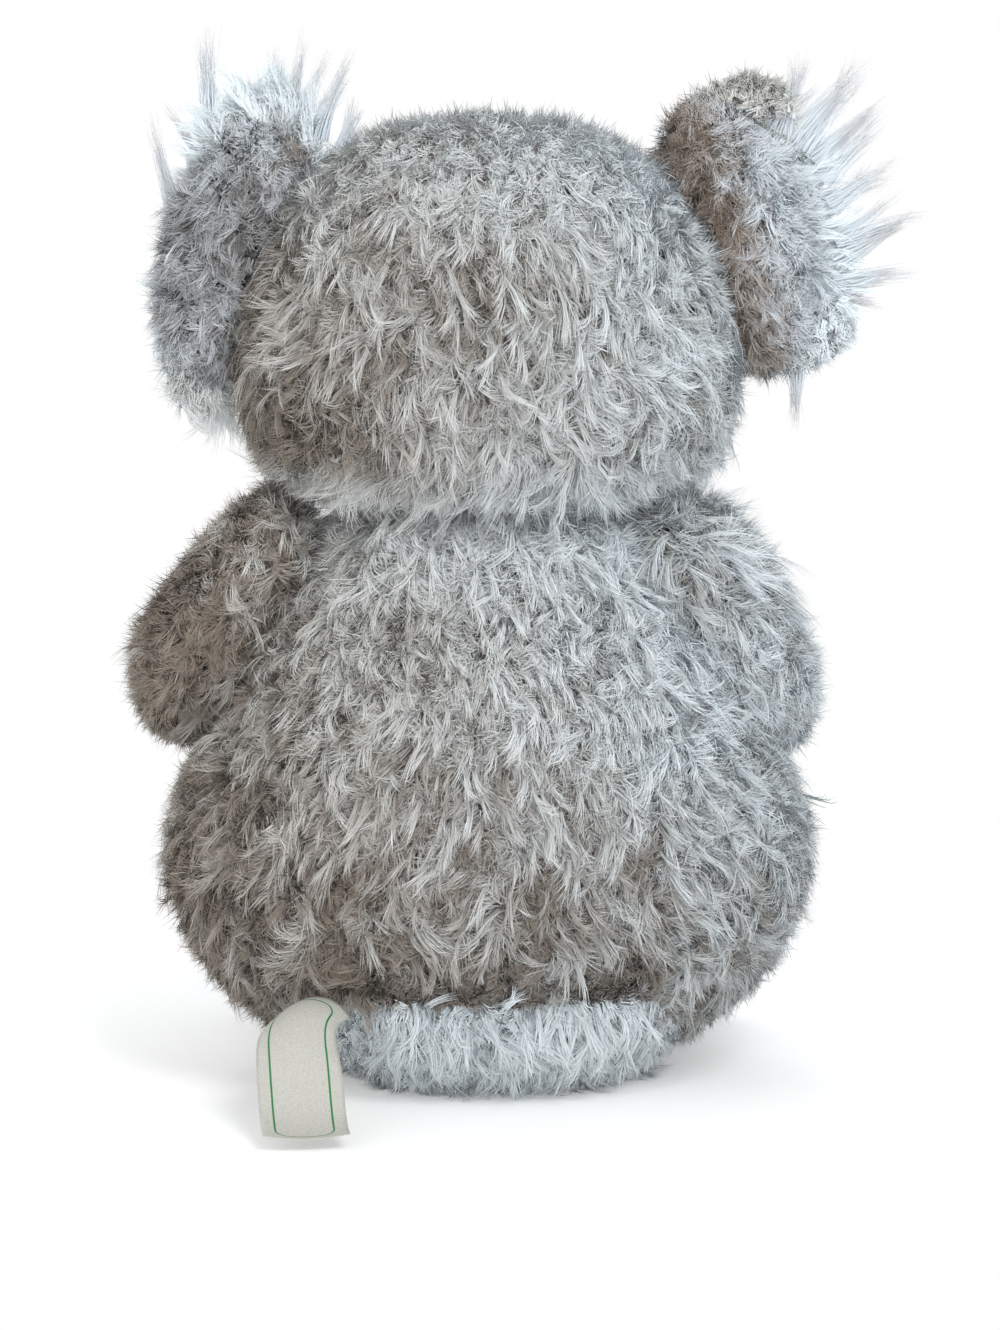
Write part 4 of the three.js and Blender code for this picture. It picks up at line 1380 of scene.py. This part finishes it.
def label_points():
    """The cloth's middle line and its ways ahead, from the seam down to the floor."""
    root, out = seam_root()
    first, steps = math.atan2(out.y, out.x), 48
    step, low = label.length / steps, gap + label.thickness / 2
    slope = 1.5 * (root.z - low) / label.slope_share  # a smooth step is 1.5 times as steep in its middle
    spot, path = np.array(root), []
    for i in range(steps + 1):
        heading = first + (label.heading - first) * smooth(i / steps, 0, label.turn_share)
        ahead = np.array([math.cos(heading), math.sin(heading), 0])
        path.append((spot.copy(), ahead, i / steps))
        height = root.z + (low - root.z) * smooth((i + 1) * step, 0, slope)
        spot = spot + ahead * math.sqrt(max(step**2 - (spot[2] - height) ** 2, 0))
        spot[2] = height
    return path


def make_label():
    path, across = label_points(), 16
    points, spots = [], []
    for spot, ahead, share in path:
        side = np.array([ahead[1], -ahead[0], 0])
        bend = label.fold * (1 - smooth(share, *label.fold_ends)) + label.least_fold
        curl = label.curl * (label.root_curl + (1 - label.root_curl) * share)
        for k in range(across + 1):
            off = k / across - 0.5
            camber = curl * (2 * off) ** 2 + label.lift_end * max(share - label.lift_from, 0) ** 2
            aside = math.sin(off * bend) / bend * label.width
            fallen = (1 - math.cos(off * bend)) / bend * label.width
            points.append(spot + side * aside + np.array([0, 0, camber - fallen]))
            spots.append((k / across, share))
    row = across + 1
    faces = grid_faces(len(path), row, [(k, k + 1) for k in range(across)])
    piece = piece_of("label_cloth", points, faces, label_material())
    layer = piece.data.uv_layers.new(name=uv_name)
    for loop in piece.data.loops:
        layer.data[loop.index].uv = spots[loop.vertex_index]
    thick = piece.modifiers.new("thickness", "SOLIDIFY")
    thick.thickness, thick.offset = label.cloth, 0
    softened(piece, 60 * degree)
    settle(piece, "label_satin", "care_label")


make_label()

# Floor, light and camera

photo = Named(width=1000, height=1330, half_height=0.2052)
view = Named(distance=1.4, elevation=6.5 * degree, across=-0.0037, up=0.1265)


def make_floor():
    reach, plain_from, plain_to = 12.0, 0.16, 0.3
    paint = Paint("floor_white", 0.9, specular=0)
    corners = [(x * reach, y * reach, 0) for x, y in ((-1, -1), (1, -1), (1, 1), (-1, 1))]
    piece_of("floor", corners, [[0, 1, 2, 3]], paint.color((0.86, 0.86, 0.86, 1)))
    shaded = paint.shader.outputs[0]
    lifted = paint.node("AddShader", {0: shaded, 1: paint.node("Emission", {"Strength": 0.3})[0]})[0]
    far = paint.node("VectorMath", {0: paint.place()}, operation="LENGTH")["Value"]
    ends = {"Value": far, "From Min": plain_from, "From Max": plain_to}
    share = paint.node("MapRange", ends, interpolation_type="SMOOTHSTEP")[0]
    near = paint.mix(share, lifted, paint.node("Emission")[0])
    paint.feed(paint.tree.nodes["Material Output"], {"Surface": paint.mix(paint.seen(), shaded, near)})


def make_world(strength):
    world = bpy.data.worlds.new("studio")
    bpy.context.scene.world = world
    world.use_nodes = True
    tree = Tree(world.node_tree)
    lit = tree.feed(tree.tree.nodes["Background"], {"Color": (0.96, 0.98, 1, 1), "Strength": strength})
    mixed = tree.mix(tree.seen(), lit.outputs[0], tree.node("Background", {"Color": white})[0])
    tree.feed(tree.tree.nodes["World Output"], {"Surface": mixed})


def make_lamp(name, place, size, power, color):
    lamp = bpy.data.lights.new(name, "AREA")
    lamp.shape, lamp.size, lamp.energy, lamp.color = "DISK", size, power, color
    holder = bpy.data.objects.new(name, lamp)
    bpy.context.scene.collection.objects.link(holder)
    holder.location = place
    aim = Vector((0, 0, torso.height / 2)) - Vector(place)
    holder.rotation_euler = aim.to_track_quat("-Z", "Y").to_euler()


def make_camera():
    data = bpy.data.cameras.new("camera")
    data.lens = data.sensor_width / 2 * view.distance / photo.half_height
    camera = bpy.data.objects.new("camera", data)
    bpy.context.scene.collection.objects.link(camera)
    back = Vector((0, math.cos(view.elevation), math.sin(view.elevation)))
    camera.location = Vector((view.across, 0, view.up)) + back * view.distance
    camera.rotation_euler = (-back).to_track_quat("-Z", "Y").to_euler()
    bpy.context.scene.camera = camera


bpy.context.scene.view_settings.view_transform = "Standard"
make_camera()
make_floor()
make_world(0.62)
make_lamp("key", (-0.75, 1.5, 1.55), 0.9, 18, (0.98, 0.99, 1))
make_lamp("fill", (1.3, 1.2, 0.7), 1.2, 5, (1, 0.96, 0.92))
make_lamp("low", (-0.3, 1.6, 0.12), 1.2, 8, (0.98, 0.99, 1))
make_lamp("front", (0.5, -1.5, 1.2), 1.2, 12, (1, 1, 1))
